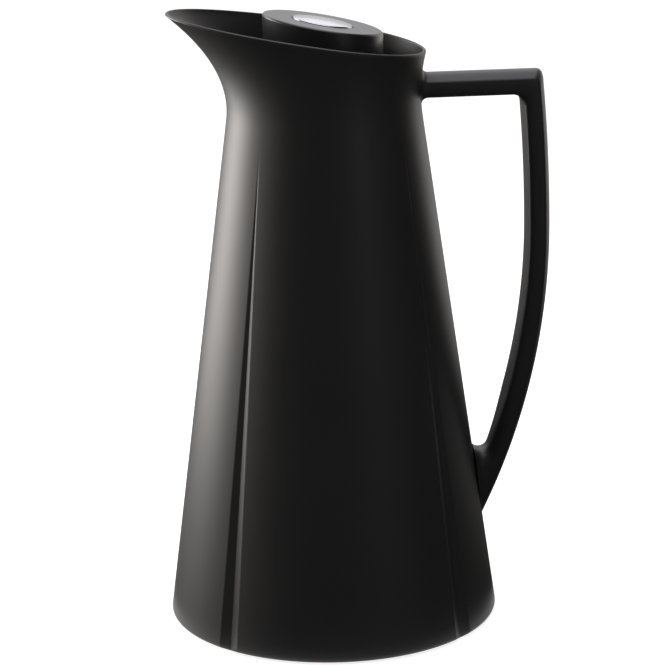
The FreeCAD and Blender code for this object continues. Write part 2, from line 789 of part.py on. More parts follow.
def make_base_plate():
    ring_inner = cushion_radius + s.fit
    ring_outer = ring_inner + s.ring_wall
    ring_top = plate_top + s.ring_height
    disc = turned_body("base_disc", [
        (zero, plate_bottom),
        (plate_radius, plate_bottom),
        (plate_radius, plate_top),
        (ring_outer, plate_top),
        (ring_outer, ring_top),
        (ring_inner, ring_top),
        (ring_inner, plate_top),
        (zero, plate_top),
    ])
    holes = [
        countersunk_screw(f"base_hole{index}", x, y, s.press_gap)
        for index, (_, x, y) in enumerate(ring_places(base_screw_circle, BASE_SCREW_COUNT))
    ]
    return combine("Cut", "base_plate", disc, fused("base_holes", holes))


def make_base_screws():
    screws = [
        countersunk_screw(f"base_screw{index}", x, y, zero)
        for index, (_, x, y) in enumerate(ring_places(base_screw_circle, BASE_SCREW_COUNT))
    ]
    return grouped("base_screws", screws)


def make_foot_pad():
    radius = plate_radius - s.pad_margin
    return turned_body("foot_pad", [
        (zero, zero),
        (radius, zero),
        (radius, plate_bottom),
        (zero, plate_bottom),
    ])


# Vacuum flask


def shoulder_bend(radius, neck):
    """Radius of a shoulder that leaves the flask's side upright and ends at the neck."""
    draw = radius - neck
    rise = neck_foot - shoulder_height
    return (draw * draw + rise * rise) / (draw * 2)


def dome_bend(radius, rise):
    return (radius * radius + rise * rise) / (rise * 2)


def make_inner_flask():
    radius = inner_flask_radius
    hollow = radius - s.glass_wall
    floor = liner_floor + s.glass_wall + s.vacuum_gap
    rim = floor + s.liner_dome
    bend = shoulder_bend(radius, neck_inner_wall)
    return turned_body("liner_inner_flask", [
        (zero, floor),
        (radius, rim, dome_bend(radius, s.liner_dome)),
        (radius, shoulder_height),
        (neck_inner_wall, neck_foot, bend),
        (neck_inner_wall, neck_top - s.glass_wall),
        (neck_outer_radius, neck_top - s.glass_wall),
        (neck_outer_radius, neck_top),
        (s.neck_bore, neck_top),
        (s.neck_bore, neck_foot),
        (hollow, shoulder_height, -bend),
        (hollow, rim),
        (zero, floor + s.glass_wall, -dome_bend(hollow, s.liner_dome - s.glass_wall)),
    ])


def make_outer_flask():
    hollow = liner_radius - s.glass_wall
    rim = liner_floor + s.liner_dome
    neck_hollow = neck_outer_radius - s.glass_wall
    bend = shoulder_bend(liner_radius, neck_outer_radius)
    return turned_body("liner_outer_flask", [
        (zero, liner_floor - s.pip_length),
        (s.pip_radius, liner_floor - s.pip_length),
        (s.pip_radius, liner_dome_height(s.pip_radius)),
        (liner_radius, rim, liner_dome_radius),
        (liner_radius, shoulder_height),
        (neck_outer_radius, neck_foot, bend),
        (neck_outer_radius, neck_top - s.glass_wall),
        (neck_hollow, neck_top - s.glass_wall),
        (neck_hollow, neck_foot),
        (hollow, shoulder_height, -bend),
        (hollow, rim),
        (zero, liner_floor + s.glass_wall, -dome_bend(hollow, s.liner_dome - s.glass_wall)),
    ])


def make_liner_spacers():
    """Round pads between the two flasks, with ends that follow the glass."""
    inside = inner_flask_radius + s.press_gap
    outside = inner_flask_radius + s.vacuum_gap - s.press_gap
    low = s.spacer_height - s.spacer_radius - s.fit
    tall = (s.spacer_radius + s.fit) * 2
    sleeve = combine(
        "Cut", "spacer_sleeve",
        cylinder("spacer_sleeve_outside", outside, tall, (zero, zero, low)),
        cylinder("spacer_sleeve_inside", inside, tall, (zero, zero, low)),
    )
    pads = []
    for angle, _, _ in ring_places(inside, SPACER_COUNT):
        plug = cylinder(
            f"spacer_plug{int(angle)}", s.spacer_radius, outside + s.overrun,
            (zero, zero, s.spacer_height), along_x(angle),
        )
        pads.append(combine("Common", f"spacer{int(angle)}", sleeve, plug))
    return grouped("liner_spacers", pads)


def make_liner_cushion():
    bore = s.pip_radius + s.cushion_bore_gap
    return turned_body("liner_cushion", [
        (bore, plate_top),
        (cushion_radius, plate_top),
        (cushion_radius, liner_dome_height(cushion_radius, s.fit)),
        (bore, liner_dome_height(bore, s.fit), -(liner_dome_radius + s.fit)),
    ])


# Mouth


def gasket_band():
    low = collar_bottom + (s.collar_floor - s.gasket_height) / 2
    return low, low + s.gasket_height


def collar_edge(height):
    return casing_inner_radius(height) - s.fit


def make_pour_collar():
    low, high = gasket_band()
    skirt_inner = neck_outer_radius + s.fit
    skirt_outer = skirt_inner + s.skirt_wall
    skirt_bottom = collar_bottom - s.skirt_length
    groove = collar_edge(high) - s.gasket_depth
    return turned_body("pour_collar", [
        (s.neck_bore, collar_bottom),
        (skirt_inner, collar_bottom),
        (skirt_inner, skirt_bottom),
        (skirt_outer, skirt_bottom),
        (skirt_outer, collar_bottom),
        (collar_edge(collar_bottom), collar_bottom),
        (collar_edge(low), low),
        (groove, low),
        (groove, high),
        (collar_edge(high), high),
        (collar_edge(collar_height), collar_height),
        (s.neck_bore, collar_height),
    ])


def make_collar_gasket():
    low, high = gasket_band()
    groove = collar_edge(high) - s.gasket_depth + s.press_gap
    return turned_body("collar_gasket", [
        (groove, low + s.press_gap),
        (casing_inner_radius(low) - s.press_gap * 2, low + s.press_gap),
        (casing_inner_radius(high) - s.press_gap * 2, high - s.press_gap),
        (groove, high - s.press_gap),
    ])


def make_neck_seal():
    return turned_body("neck_seal", [
        (s.neck_bore, neck_top),
        (neck_outer_radius, neck_top),
        (neck_outer_radius, collar_bottom),
        (s.neck_bore, collar_bottom),
    ])


# Stopper


def lid_top(x, drop=zero):
    """Slanted top of the lid at a place along X, lowered by a drop."""
    return lid_height - drop - lid_fall * x


def slanted_plug(label, radius, bottom, drop):
    """Upright round body whose top is cut along the lid's slant."""
    body = new_body(label)
    circle = new_sketch(body, f"{label}_plan", "XY_Plane", bottom)
    draw_circle(circle, zero, zero, radius)
    above = lid_height + s.lid_slant
    pad(body, circle, above - bottom)
    slant = new_sketch(body, f"{label}_slant", "XZ_Plane")
    side = radius + s.overrun
    clear = above + s.overrun
    draw_outline(slant, [
        (-side, lid_top(-side, drop)),
        (side, lid_top(side, drop)),
        (side, clear),
        (-side, clear),
    ])
    pocket(body, slant, both_sides=True)
    return body


def is_lid_top_edge(edge):
    return edge.BoundBox.ZMin > cup_top.value + SAME_PLACE


def make_stopper_cover():
    """Lid with a rounded slanted top, hollow below, and the tube that guides the button."""
    lid = slanted_plug("lid_outside", s.head_radius, cup_top, zero)
    round_edges(lid, "lid_rounding", s.lid_round, is_lid_top_edge)
    cavity = slanted_plug("lid_cavity", s.head_radius - s.lid_wall, cup_top - s.overrun, s.lid_wall)
    hollow = combine("Cut", "lid_hollow", lid, cavity)
    tube = cylinder(
        "guide_tube", button_bore_radius + s.guide_wall, s.guide_length + s.lid_slant,
        (zero, zero, guide_bottom),
    )
    guide = combine("Common", "lid_guide", lid, tube)
    bore = cylinder(
        "button_bore", button_bore_radius, s.guide_length + s.lid_slant + s.overrun,
        (zero, zero, guide_bottom - s.overrun),
    )
    return combine("Cut", "stopper_cover", fused("lid_guided", [hollow, guide]), bore)


def make_stopper_body():
    """Plug, valve seat and cup in one turning, with flow holes and pouring windows."""
    seat = plug_inner_radius - s.seat_lip
    groove = plug_radius - s.seal_groove
    spigot_outer = s.head_radius - s.lid_wall - s.fit
    spigot_inner = spigot_outer - s.spigot_wall
    cup_inner = s.head_radius - s.cup_wall
    bore = bush_radius + s.press_gap
    body = turned_body("stopper_turned", [
        (bore, cup_bottom),
        (plug_inner_radius, cup_bottom),
        (plug_inner_radius, plug_bottom + s.seat_thickness),
        (seat, plug_bottom + s.seat_thickness),
        (seat, plug_bottom),
        (plug_radius, plug_bottom),
        (plug_radius, seal_bottom),
        (groove, seal_bottom),
        (groove, seal_top),
        (plug_radius, seal_top),
        (plug_radius, cup_bottom),
        (s.head_radius, cup_bottom),
        (s.head_radius, cup_top),
        (spigot_outer, cup_top),
        (spigot_outer, cup_top + s.spigot_height),
        (spigot_inner, cup_top + s.spigot_height),
        (spigot_inner, cup_top - s.ledge),
        (cup_inner, cup_top - s.ledge),
        (cup_inner, cup_floor_top),
        (bore, cup_floor_top),
    ])
    flow = new_sketch(body, "flow_hole", "XY_Plane", cup_bottom)
    draw_circle(flow, plug_inner_radius - s.flow_radius - s.flow_margin, zero, s.flow_radius)
    repeat_round(body, pocket(body, flow, s.cup_floor + s.overrun, reverse=True), FLOW_HOLE_COUNT)
    ports = []
    for turn in PORT_TURNS:
        port = doc.addObject("Part::Box", f"port{int(turn) % 360}")
        bind(port, "Length", s.cup_wall + s.overrun)
        bind(port, "Width", s.port_width)
        bind(port, "Height", s.port_height)
        angle = math.radians(180.0 + turn)
        reach = cup_inner - s.overrun / 2
        port.Placement = Placement(Vector(), Rotation(Vector(0, 0, 1), 180.0 + turn))
        bind(port, "Placement.Base.x", reach * math.cos(angle) + s.port_width / 2 * math.sin(angle))
        bind(port, "Placement.Base.y", reach * math.sin(angle) - s.port_width / 2 * math.cos(angle))
        bind(port, "Placement.Base.z", cup_floor_top)
        ports.append(port)
    return combine("Cut", "stopper_body", body, fused("ports", ports))


def make_stopper_seal():
    """Ring with two lips that reach to the neck."""
    inner = plug_radius - s.seal_groove + s.press_gap
    lip = s.neck_bore - s.slide
    waist = (plug_radius + lip) / 2
    step = s.seal_height / 4
    return turned_body("stopper_seal", [
        (inner, seal_bottom + s.press_gap),
        (plug_radius, seal_bottom + s.press_gap),
        (lip, seal_bottom + step),
        (waist, seal_bottom + step * 2),
        (lip, seal_top - step),
        (plug_radius, seal_top - s.press_gap),
        (inner, seal_top - s.press_gap),
    ])


# Button and valve


def is_cap_top_edge(edge):
    return edge.BoundBox.ZMin > cap_roof.value


def make_button_cap():
    """Metal cap with a crowned top that follows the lid's slant."""
    tall = cylinder(
        "cap_blank", s.button_radius, s.guide_length + s.lid_slant, (zero, zero, plunger_top_face)
    )
    crown = doc.addObject("Part::Sphere", "cap_crown")
    radius = dome_bend(s.button_radius, s.button_crown)
    tilt = (lid_fall * lid_fall + 1).root()
    bind(crown, "Radius", radius)
    crown.Placement = Placement(Vector(), Rotation(Vector(0, 0, 1), 180))
    bind(crown, "Placement.Base.x", -(radius * lid_fall / tilt))
    bind(crown, "Placement.Base.z", lid_height + s.button_proud + s.button_crown - radius / tilt)
    body = new_body("button_cap", combine("Common", "cap_form", tall, crown))
    doc.recompute()
    round_edges(body, "cap_rounding", s.button_round, is_cap_top_edge)
    hollow = new_sketch(body, "cap_hollow", "XY_Plane", plunger_top_face)
    draw_circle(hollow, zero, zero, s.button_radius - s.button_wall)
    pocket(body, hollow, cap_roof - plunger_top_face, reverse=True)
    return body


def make_button_plunger():
    """Core of the button: fills the cap, stops under the guide tube and holds the stem."""
    core = s.button_radius - s.button_wall - s.fit
    bore = s.stem_radius + s.press_gap
    flange = s.button_radius + s.guide_wall
    return turned_body("button_plunger", [
        (bore, plunger_bottom),
        (flange, plunger_bottom),
        (flange, plunger_top_face),
        (core, plunger_top_face),
        (core, cap_roof - s.fit),
        (zero, cap_roof - s.fit),
        (zero, socket_top),
        (bore, socket_top),
    ])


def make_valve_stem():
    """Stem with a shoulder that clamps the valve disc against its nut."""
    end = valve_bottom - s.nut_height - s.stem_end_spare
    return turned_body("valve_stem", [
        (zero, end),
        (s.stem_end_radius, end),
        (s.stem_end_radius, stem_shoulder),
        (s.stem_radius, stem_shoulder),
        (s.stem_radius, socket_top - s.press_gap),
        (zero, socket_top - s.press_gap),
    ])


def make_stem_bush():
    bore = s.stem_radius + s.press_gap
    flange = s.spring_radius + s.wire_radius + s.fit
    return turned_body("stem_bush", [
        (bore, cup_bottom - s.bush_drop),
        (bush_radius, cup_bottom - s.bush_drop),
        (bush_radius, cup_floor_top),
        (flange, cup_floor_top),
        (flange, spring_bottom),
        (bore, spring_bottom),
    ])


def biarc(start, end, start_way, end_way):
    """Two arcs that leave a point one way and reach another point another way."""
    span = end - start
    ways = start_way + end_way
    turn = 2 * (1 - start_way.dot(end_way))
    lead = span.dot(ways)
    reach = (math.sqrt(lead ** 2 + turn * span.dot(span)) - lead) / turn
    corners = (start + start_way * reach, end - end_way * reach)
    joint = (corners[0] + corners[1]) / 2
    arcs = []
    for first, corner, last in ((start, corners[0], joint), (joint, corners[1], end)):
        middle = (first + last) / 2
        half_chord = (last - first).Length / 2
        bend = math.atan2((corner - middle).Length, half_chord)
        top = middle + (corner - middle).normalize() * (half_chord * math.tan(bend / 2))
        arcs.append(Part.Arc(first, top, last).toShape())
    return arcs


def make_return_spring():
    """Round-wire spring between the bush and the plunger, on two arcs for each quarter turn."""
    low = (spring_bottom + s.wire_radius + s.press_gap).value
    high = (plunger_bottom - s.wire_radius - s.press_gap).value
    radius = s.spring_radius.value
    climb = (high - low) / (2 * math.pi * SPRING_TURNS)

    def place(angle):
        return Vector(radius * math.cos(angle), radius * math.sin(angle), low + climb * angle)

    def way(angle):
        return Vector(-radius * math.sin(angle), radius * math.cos(angle), climb).normalize()

    quarters = [math.pi / 2 * index for index in range(4 * SPRING_TURNS + 1)]
    path = []
    for first, last in zip(quarters, quarters[1:]):
        path += biarc(place(first), place(last), way(first), way(last))
    wire = Part.Wire(Part.Circle(place(0), way(0), s.wire_radius.value).toShape())
    item = doc.addObject("Part::Feature", "return_spring")
    item.Shape = Part.Wire(path).makePipeShell([wire], True, False)
    return item


def make_valve_disc():
    bore = s.stem_end_radius + s.press_gap
    return turned_body("valve_disc", [
        (bore, valve_bottom),
        (valve_radius, valve_bottom),
        (valve_radius, valve_top),
        (s.valve_boss_radius, valve_top),
        (s.valve_boss_radius, stem_shoulder),
        (bore, stem_shoulder),
    ])


def make_valve_gasket():
    inner = s.valve_boss_radius + s.press_gap
    return turned_body("valve_gasket", [
        (inner, valve_top),
        (valve_radius, valve_top),
        (valve_radius, plug_bottom),
        (inner, plug_bottom),
    ])


def make_valve_nut():
    blank = doc.addObject("Part::Prism", "nut_blank")
    blank.Polygon = 6
    bind(blank, "Circumradius", s.nut_radius)
    bind(blank, "Height", s.nut_height)
    bind(blank, "Placement.Base.z", valve_bottom - s.nut_height)
    bore = cylinder(
        "nut_bore", s.stem_end_radius + s.press_gap, s.nut_height + s.overrun * 2,
        (zero, zero, valve_bottom - s.nut_height - s.overrun),
    )
    return combine("Cut", "valve_nut", blank, bore)


def make_parts():
    return [
        make_outer_shell(),
        make_handle(),
        make_handle_screws(),
        make_base_plate(),
        make_base_screws(),
        make_foot_pad(),
        make_inner_flask(),
        make_outer_flask(),
        make_liner_spacers(),
        make_liner_cushion(),
        make_pour_collar(),
        make_collar_gasket(),
        make_neck_seal(),
        make_stopper_body(),
        make_stopper_cover(),
        make_stopper_seal(),
        make_button_cap(),
        make_button_plunger(),
        make_valve_stem(),
        make_stem_bush(),
        make_return_spring(),
        make_valve_disc(),
        make_valve_gasket(),
        make_valve_nut(),
    ]


def write_parts(parts):
    """Check the whole document, then write each piece to its own file."""
    doc.recompute()
    for item in doc.Objects:
        if "Invalid" in item.State or "Error" in item.State:
            raise RuntimeError(f"{item.Label} failed: {item.State}")
    for part in parts:
        if part.Shape.isNull() or not part.Shape.isValid():
            raise RuntimeError(f"{part.Label} has no valid shape")
    os.makedirs("parts", exist_ok=True)
    for part in parts:
        part.Shape.exportStep(f"parts/{part.Label}.step")
        print(f"{part.Label}: {len(part.Shape.Solids)} solids, {part.Shape.Volume:.0f} mm3")


write_parts(make_parts())
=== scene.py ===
"""Looks of a thermal jug: grooved casing with a drawn spout, loop handle and push-button stopper."""
import json
import math

import bmesh
import bpy
from bpy.props import FloatProperty, FloatVectorProperty, PointerProperty
from mathutils import Matrix, Vector


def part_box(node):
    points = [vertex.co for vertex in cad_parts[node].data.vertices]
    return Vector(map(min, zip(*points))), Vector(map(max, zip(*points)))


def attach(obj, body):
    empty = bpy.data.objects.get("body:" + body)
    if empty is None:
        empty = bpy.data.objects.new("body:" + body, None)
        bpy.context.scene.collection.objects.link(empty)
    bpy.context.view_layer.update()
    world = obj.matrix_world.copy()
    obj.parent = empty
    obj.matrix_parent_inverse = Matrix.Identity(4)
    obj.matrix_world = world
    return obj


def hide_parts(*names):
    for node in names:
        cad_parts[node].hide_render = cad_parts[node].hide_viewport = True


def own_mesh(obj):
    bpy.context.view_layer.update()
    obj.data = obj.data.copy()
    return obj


bl_info = {
    "name": "Thermal jug",
    "version": (1, 0, 0),
    "blender": (4, 5, 0),
    "location": "3D View > Sidebar > Jug",
    "description": "Dresses the packed model of a thermal jug",
    "category": "Object",
}

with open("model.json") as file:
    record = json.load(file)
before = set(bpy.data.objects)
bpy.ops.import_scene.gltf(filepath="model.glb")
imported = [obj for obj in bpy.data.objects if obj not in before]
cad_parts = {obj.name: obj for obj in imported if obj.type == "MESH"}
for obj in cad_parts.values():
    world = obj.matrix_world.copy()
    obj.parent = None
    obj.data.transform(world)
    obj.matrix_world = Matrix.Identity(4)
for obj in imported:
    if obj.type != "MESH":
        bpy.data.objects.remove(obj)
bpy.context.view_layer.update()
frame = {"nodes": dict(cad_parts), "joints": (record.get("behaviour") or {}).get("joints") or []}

# Counts that set how fine the meshes are, and distances that close their seams
HALF_COLUMNS = 26
QUARTERS = 4
TURN_STEPS = 144
CROWN_STEPS = 14
EDGE_STEPS = 5
HANDLE_STEPS = {"root": 8, "bar": 12, "corner": 36, "grip": 40, "web": 36}
SHARP_ANGLE = math.radians(38)
CASING_WELD = 2e-6
RING_WELD = 1e-6
WIRE_WELD = 1e-7


def size(name, default, description):
    """Length in metres that shows as a distance."""
    return FloatProperty(
        name=name, description=description, default=default,
        precision=5, subtype="DISTANCE", unit="LENGTH",
    )


def colour(name, default, description):
    """Linear colour."""
    return FloatVectorProperty(
        name=name, description=description, default=default, size=3, min=0.0, max=1.0, subtype="COLOR",
    )


def factor(name, default, description):
    """Share from 0 to 1."""
    return FloatProperty(
        name=name, description=description, default=default, min=0.0, max=1.0, subtype="FACTOR",
    )


def turn(name, default, description):
    """Angle, given in degrees."""
    return FloatProperty(
        name=name, description=description, default=math.radians(default),
        subtype="ANGLE", unit="ROTATION",
    )


def strength(name, default, description):
    """Brightness of a light or a card."""
    return FloatProperty(name=name, description=description, default=default, min=0.0)


class JugCasingSizes(bpy.types.PropertyGroup):
    """Sizes of the casing's outer and inner skin"""

    base_radius: size("Base radius", 0.07997, "Cone radius carried down to the standing plane")
    neck_radius: size("Neck radius", 0.0464, "Cone radius where the flare starts")
    flare_height: size("Flare height", 0.244, "Height where the flare starts")
    spout_reach: size("Spout reach", 0.0744, "Axis to the tip of the spout")
    spout_height: size("Spout height", 0.29599, "Height of the tip of the spout")
    rear_reach: size("Rear reach", 0.0484, "Axis to the rim above the handle")
    rear_height: size("Rear height", 0.2757, "Height of the rim above the handle")
    mouth_half_width: size("Mouth half width", 0.047, "Half the width of the rim")
    foot_wall: size("Foot wall", 0.0034, "Wall at the foot")
    neck_wall: size("Neck wall", 0.0024, "Wall where the flare starts")
    lip_wall: size("Lip wall", 0.0017, "Rounded lip of the rim")
    foot_gap: size("Foot gap", 0.0005, "Casing's edge above the standing plane")
    foot_round: size("Foot rounding", 0.0022, "Rounding of the lower edge")
    recess_radius: size("Recess radius", 0.0695, "Recess of the base plate")
    opening_radius: size("Opening radius", 0.057, "Opening that the flask enters by")
    recess_height: size("Recess height", 0.004, "Roof of the base plate's recess")
    flange_top: size("Flange top", 0.0066, "Top of the inner flange")
    groove_width: size("Groove width", 0.012, "Width of a V-groove carried down to the standing plane")
    groove_depth: size("Groove depth", 0.0021, "Depth of a V-groove at the foot")
    groove_top: size("Groove top", 0.236, "Height where a V-groove runs out")
    groove_end: size("Groove end", 0.0008, "Half width that a groove's columns keep above its end")
    groove_edge: size("Groove edge", 0.0004, "Softness of a groove's edges")


class JugHandleSizes(bpy.types.PropertyGroup):
    """Sizes of the bar and the grip"""

    width: size("Width", 0.020, "Width across the grip")
    depth: size("Depth", 0.0109, "Thickness of bar and grip")
    crown: size("Crown", 0.0035, "Crown of the outer side")
    edge: size("Inner edge", 0.0024, "Rounding along the inner edges")
    crown_edge: size("Crown edge", 0.0005, "Rounding where crown and side meet")
    bar_top: size("Bar top", 0.2640, "Top of the level bar")
    grip_reach: size("Grip reach", 0.10744, "Axis to the farthest point of the grip")
    grip_height: size("Grip height", 0.1884, "Height of that point")
    upper_radius: size("Upper bend", 0.8, "Outer bend above that point")
    lower_radius: size("Lower bend", 0.325, "Outer bend below that point")
    inner_radius: size("Inner bend", 0.315, "Inner bend below that point")
    corner_fillet: size("Corner fillet", 0.006, "Inner corner between bar and grip")
    corner_round: size("Corner rounding", 0.0027, "Rounding of the outer corner")
    notch_height: size("Notch height", 0.0772, "Lowest point of the finger gap")
    saddle: size("Saddle", 0.0072, "Rounding of the finger gap's lower end")
    foot_height: size("Foot height", 0.0455, "Lowest point of the grip")
    root_fillet: size("Root fillet", 0.0032, "Fillet where the bar meets the casing")
    web_fillet: size("Web fillet", 0.0036, "Fillet where the grip's foot meets the casing")
    sink: size("Sink", 0.0003, "Depth of the handle's ends under the casing's skin")


class JugStopperSizes(bpy.types.PropertyGroup):
    """Sizes of the lid and the button"""

    head_radius: size("Head radius", 0.0282, "Lid of the stopper")
    lid_height: size("Lid height", 0.2895, "Top of the lid on the axis")
    lid_slant: size("Lid slant", 0.0104, "Front edge of the lid above its rear edge")
    lid_round: size("Lid rounding", 0.0014, "Rounded edge of the lid")
    lid_wall: size("Lid wall", 0.0024, "Wall of the lid")
    guide_bore: size("Guide bore", 0.0143, "Bore that the button slides in")
    guide_wall: size("Guide wall", 0.0018, "Tube around the bore")
    guide_length: size("Guide length", 0.018, "Tube below the lid's top")
    bore_edge: size("Bore edge", 0.0005, "Rounding of the bore's edge")
    button_radius: size("Button radius", 0.014, "Metal cap")
    button_crown: size("Button crown", 0.0012, "Crown of the metal cap")
    button_proud: size("Button proud", 0.0005, "Edge of the cap above the lid")
    button_round: size("Button rounding", 0.0008, "Edge of the metal cap")
    button_wall: size("Button wall", 0.0014, "Skirt of the metal cap")
    spring_radius: size("Spring radius", 0.0062, "Middle of the spring's wire")
    wire_radius: size("Wire radius", 0.0006, "Wire of the spring")


class JugFinish(bpy.types.PropertyGroup):
    """Colours and gloss of the finishes"""

    casing: colour("Casing", (0.0135, 0.0126, 0.0126), "Satin black of casing and handle")
    casing_rough: factor("Casing roughness", 0.46, "Roughness of casing and handle")
    lid: colour("Lid", (0.011, 0.011, 0.012), "Satin black of the lid")
    lid_rough: factor("Lid roughness", 0.34, "Roughness of the lid")
    inner: colour("Inner plastic", (0.012, 0.012, 0.013), "Matte black of the inner mouldings")
    white: colour("White plastic", (0.58, 0.57, 0.54), "Slide plastic of bush and valve disc")
    cap: colour("Metal cap", (0.36, 0.355, 0.375), "Polished steel of the button")
    steel: colour("Steel", (0.56, 0.56, 0.58), "Drawn steel of stem, spring and screws")
    seal: colour("Seal", (0.045, 0.045, 0.05), "Silicone of the seals")
    rubber: colour("Rubber", (0.022, 0.022, 0.023), "Rubber of foot pad and cushion")
    glass: colour("Silvered glass", (0.82, 0.83, 0.85), "Flask with its silver coat")
    felt: colour("Felt", (0.42, 0.39, 0.33), "Spacer pads of the flask")


class JugStage(bpy.types.PropertyGroup):
    """Camera and studio light"""

    distance: size("Camera distance", 1.3, "Camera to its target")
    target_x: size("Target X", 0.00187, "Camera target along X")
    target_z: size("Target Z", 0.13903, "Camera target above the floor")
    azimuth: turn("Azimuth", -5.75, "Camera round the jug")
    elevation: turn("Elevation", 15.305, "Camera above the horizon")
    roll: turn("Roll", -1.085, "Camera turned about its view")
    lens: FloatProperty(name="Lens", description="Focal length", default=146.16, unit="CAMERA")
    key: strength("Key light", 11.0, "Radiance of the panel at the left")
    side: strength("Side light", 1.5, "Radiance of the panel at the right rear")
    back: strength("Back light", 1.3, "Radiance of the panel above the rear")
    front: strength("Front light", 0.8, "Radiance of the panel at the right front")
    left: strength("Left light", 1.3, "Radiance of the weak panel at the left")
    top: strength("Top light", 2.0, "Radiance of the panel above")
    mirror: strength("Backdrop in reflections", 0.75, "Brightness of the backdrop in mirror rays")
    card: strength("Floor card", 0.05, "Brightness of the grey card behind the jug in reflections")
    bright: strength("Bright card", 4.0, "Brightness of the card on the floor before the key light")
    soft: strength("Soft card", 0.7, "Brightness of the card on the floor before the side light")
    fill: strength("Fill light", 0.55, "World light that falls on the object")


# Node trees

MESH_OUTPUT = (("mesh", "NodeSocketGeometry"),)


class Field:
    """A number in a node tree; arithmetic on it adds Math nodes."""

    def __init__(self, tree, socket):
        self.tree = tree
        self.socket = socket

    def run(self, operation, *others):
        node = self.tree.nodes.new("ShaderNodeMath")
        node.operation = operation
        for socket, value in zip(node.inputs, (self, *others)):
            if isinstance(value, Field):
                self.tree.links.new(value.socket, socket)
            else:
                socket.default_value = value
        return Field(self.tree, node.outputs[0])

    def __add__(self, other):
        return self.run("ADD", other)

    def __sub__(self, other):
        return self.run("SUBTRACT", other)

    def __mul__(self, other):
        return self.run("MULTIPLY", other)

    def __truediv__(self, other):
        return self.run("DIVIDE", other)

    def __neg__(self):
        return self.run("MULTIPLY", -1.0)

    def clamp(self):
        """The number held between 0 and 1."""
        return self.run("MAXIMUM", 0.0).run("MINIMUM", 1.0)


def group_tree(name, kind, inputs, outputs):
    """New node group; gives the tree, its input sockets by name and its output node."""
    tree = bpy.data.node_groups.new(name, kind)
    for label, socket_type in inputs:
        tree.interface.new_socket(label, in_out="INPUT", socket_type=socket_type)
    for label, socket_type in outputs:
        tree.interface.new_socket(label, in_out="OUTPUT", socket_type=socket_type)
    source = tree.nodes.new("NodeGroupInput")
    return tree, source.outputs, tree.nodes.new("NodeGroupOutput")


def separate(tree, vector):
    """X, Y and Z of a vector as fields."""
    node = tree.nodes.new("ShaderNodeSeparateXYZ")
    tree.links.new(vector, node.inputs[0])
    return [Field(tree, output) for output in node.outputs]


def combine(tree, *fields):
    """Vector from three fields."""
    node = tree.nodes.new("ShaderNodeCombineXYZ")
    for field, socket in zip(fields, node.inputs):
        tree.links.new(field.socket, socket)
    return node.outputs[0]


def finish_geometry(tree, parts, material, output, weld):
    """Join parts, weld their seams, realize them and give them their material."""
    nodes, links = tree.nodes, tree.links
    join = nodes.new("GeometryNodeJoinGeometry")
    for part in parts:
        links.new(part, join.inputs["Geometry"])
    merge = nodes.new("GeometryNodeMergeByDistance")
    merge.inputs["Distance"].default_value = weld
    smooth = nodes.new("GeometryNodeSetShadeSmooth")
    realize = nodes.new("GeometryNodeRealizeInstances")
    paint = nodes.new("GeometryNodeSetMaterial")
    chain = (join, merge, smooth, realize, paint)
    for first, second in zip(chain, chain[1:]):
        links.new(first.outputs[0], second.inputs[0])
    links.new(material, paint.inputs["Material"])
    links.new(paint.outputs[0], output.inputs[0])


def piece_from_tree(context, name, tree, values):
    """Plain mesh object made by a geometry tree, with its inputs set by their identifiers."""
    piece = new_piece(context, name, bpy.data.meshes.new(name))
    modifier = piece.modifiers.new("shape", "NODES")
    modifier.node_group = tree
    for item in tree.interface.items_tree:
        if item.in_out == "INPUT":
            modifier[item.identifier] = values[item.name]
    depsgraph = context.evaluated_depsgraph_get()
    mesh = bpy.data.meshes.new_from_object(piece.evaluated_get(depsgraph))
    piece.modifiers.clear()
    piece.data = mesh
    mesh.name = name
    if not mesh.polygons:
        raise RuntimeError(f"{name} came out empty")
    mesh.set_sharp_from_angle(angle=SHARP_ANGLE)
    return piece


def new_piece(context, name, mesh):
    """Object with a mesh, linked to the scene."""
    piece = bpy.data.objects.new(name, mesh)
    context.scene.collection.objects.link(piece)
    return piece


# Finishes

GRAIN_DETAIL = 3.0
GLOSS_SHARE = 0.5
RING_PITCH_SHARE = 0.15
RING_GLOSS = (0.8, 0.4)
BUMP_STRENGTH = 0.5
METAL_CAST = (("Grain", 900.0), ("Cloud", 120.0), ("Spread", 0.04))


def grain_group():
    """Fine moulded or cast grain: cloudy tone, uneven gloss and a pitted height."""
    found = bpy.data.node_groups.get("surface_grain")
    if found:
        return found
    tree, inputs, output = group_tree(
        "surface_grain", "ShaderNodeTree",
        [
            ("Vector", "NodeSocketVector"), ("Colour", "NodeSocketColor"),
            *((label, "NodeSocketFloat") for label in ("Roughness", "Grain", "Cloud", "Spread")),
        ],
        [("Colour", "NodeSocketColor"), ("Roughness", "NodeSocketFloat"), ("Height", "NodeSocketFloat")],
    )
    fine, broad = (tree.nodes.new("ShaderNodeTexNoise") for _ in range(2))
    for node, label in ((fine, "Grain"), (broad, "Cloud")):
        tree.links.new(inputs["Vector"], node.inputs["Vector"])
        tree.links.new(inputs[label], node.inputs["Scale"])
        node.inputs["Detail"].default_value = GRAIN_DETAIL
    spread = Field(tree, inputs["Spread"])
    cloud = (Field(tree, broad.outputs[0]) - 0.5) * 2.0
    pits = (Field(tree, fine.outputs[0]) - 0.5) * 2.0
    tone = cloud * spread + pits * spread + 1.0
    rough = Field(tree, inputs["Roughness"]) * ((cloud - pits) * spread * GLOSS_SHARE + 1.0)
    shade = tree.nodes.new("ShaderNodeVectorMath")
    shade.operation = "SCALE"
    tree.links.new(inputs["Colour"], shade.inputs[0])
    tree.links.new(tone.socket, shade.inputs["Scale"])
    tree.links.new(shade.outputs[0], output.inputs["Colour"])
    tree.links.new(rough.socket, output.inputs["Roughness"])
    tree.links.new(fine.outputs[0], output.inputs["Height"])
    return tree


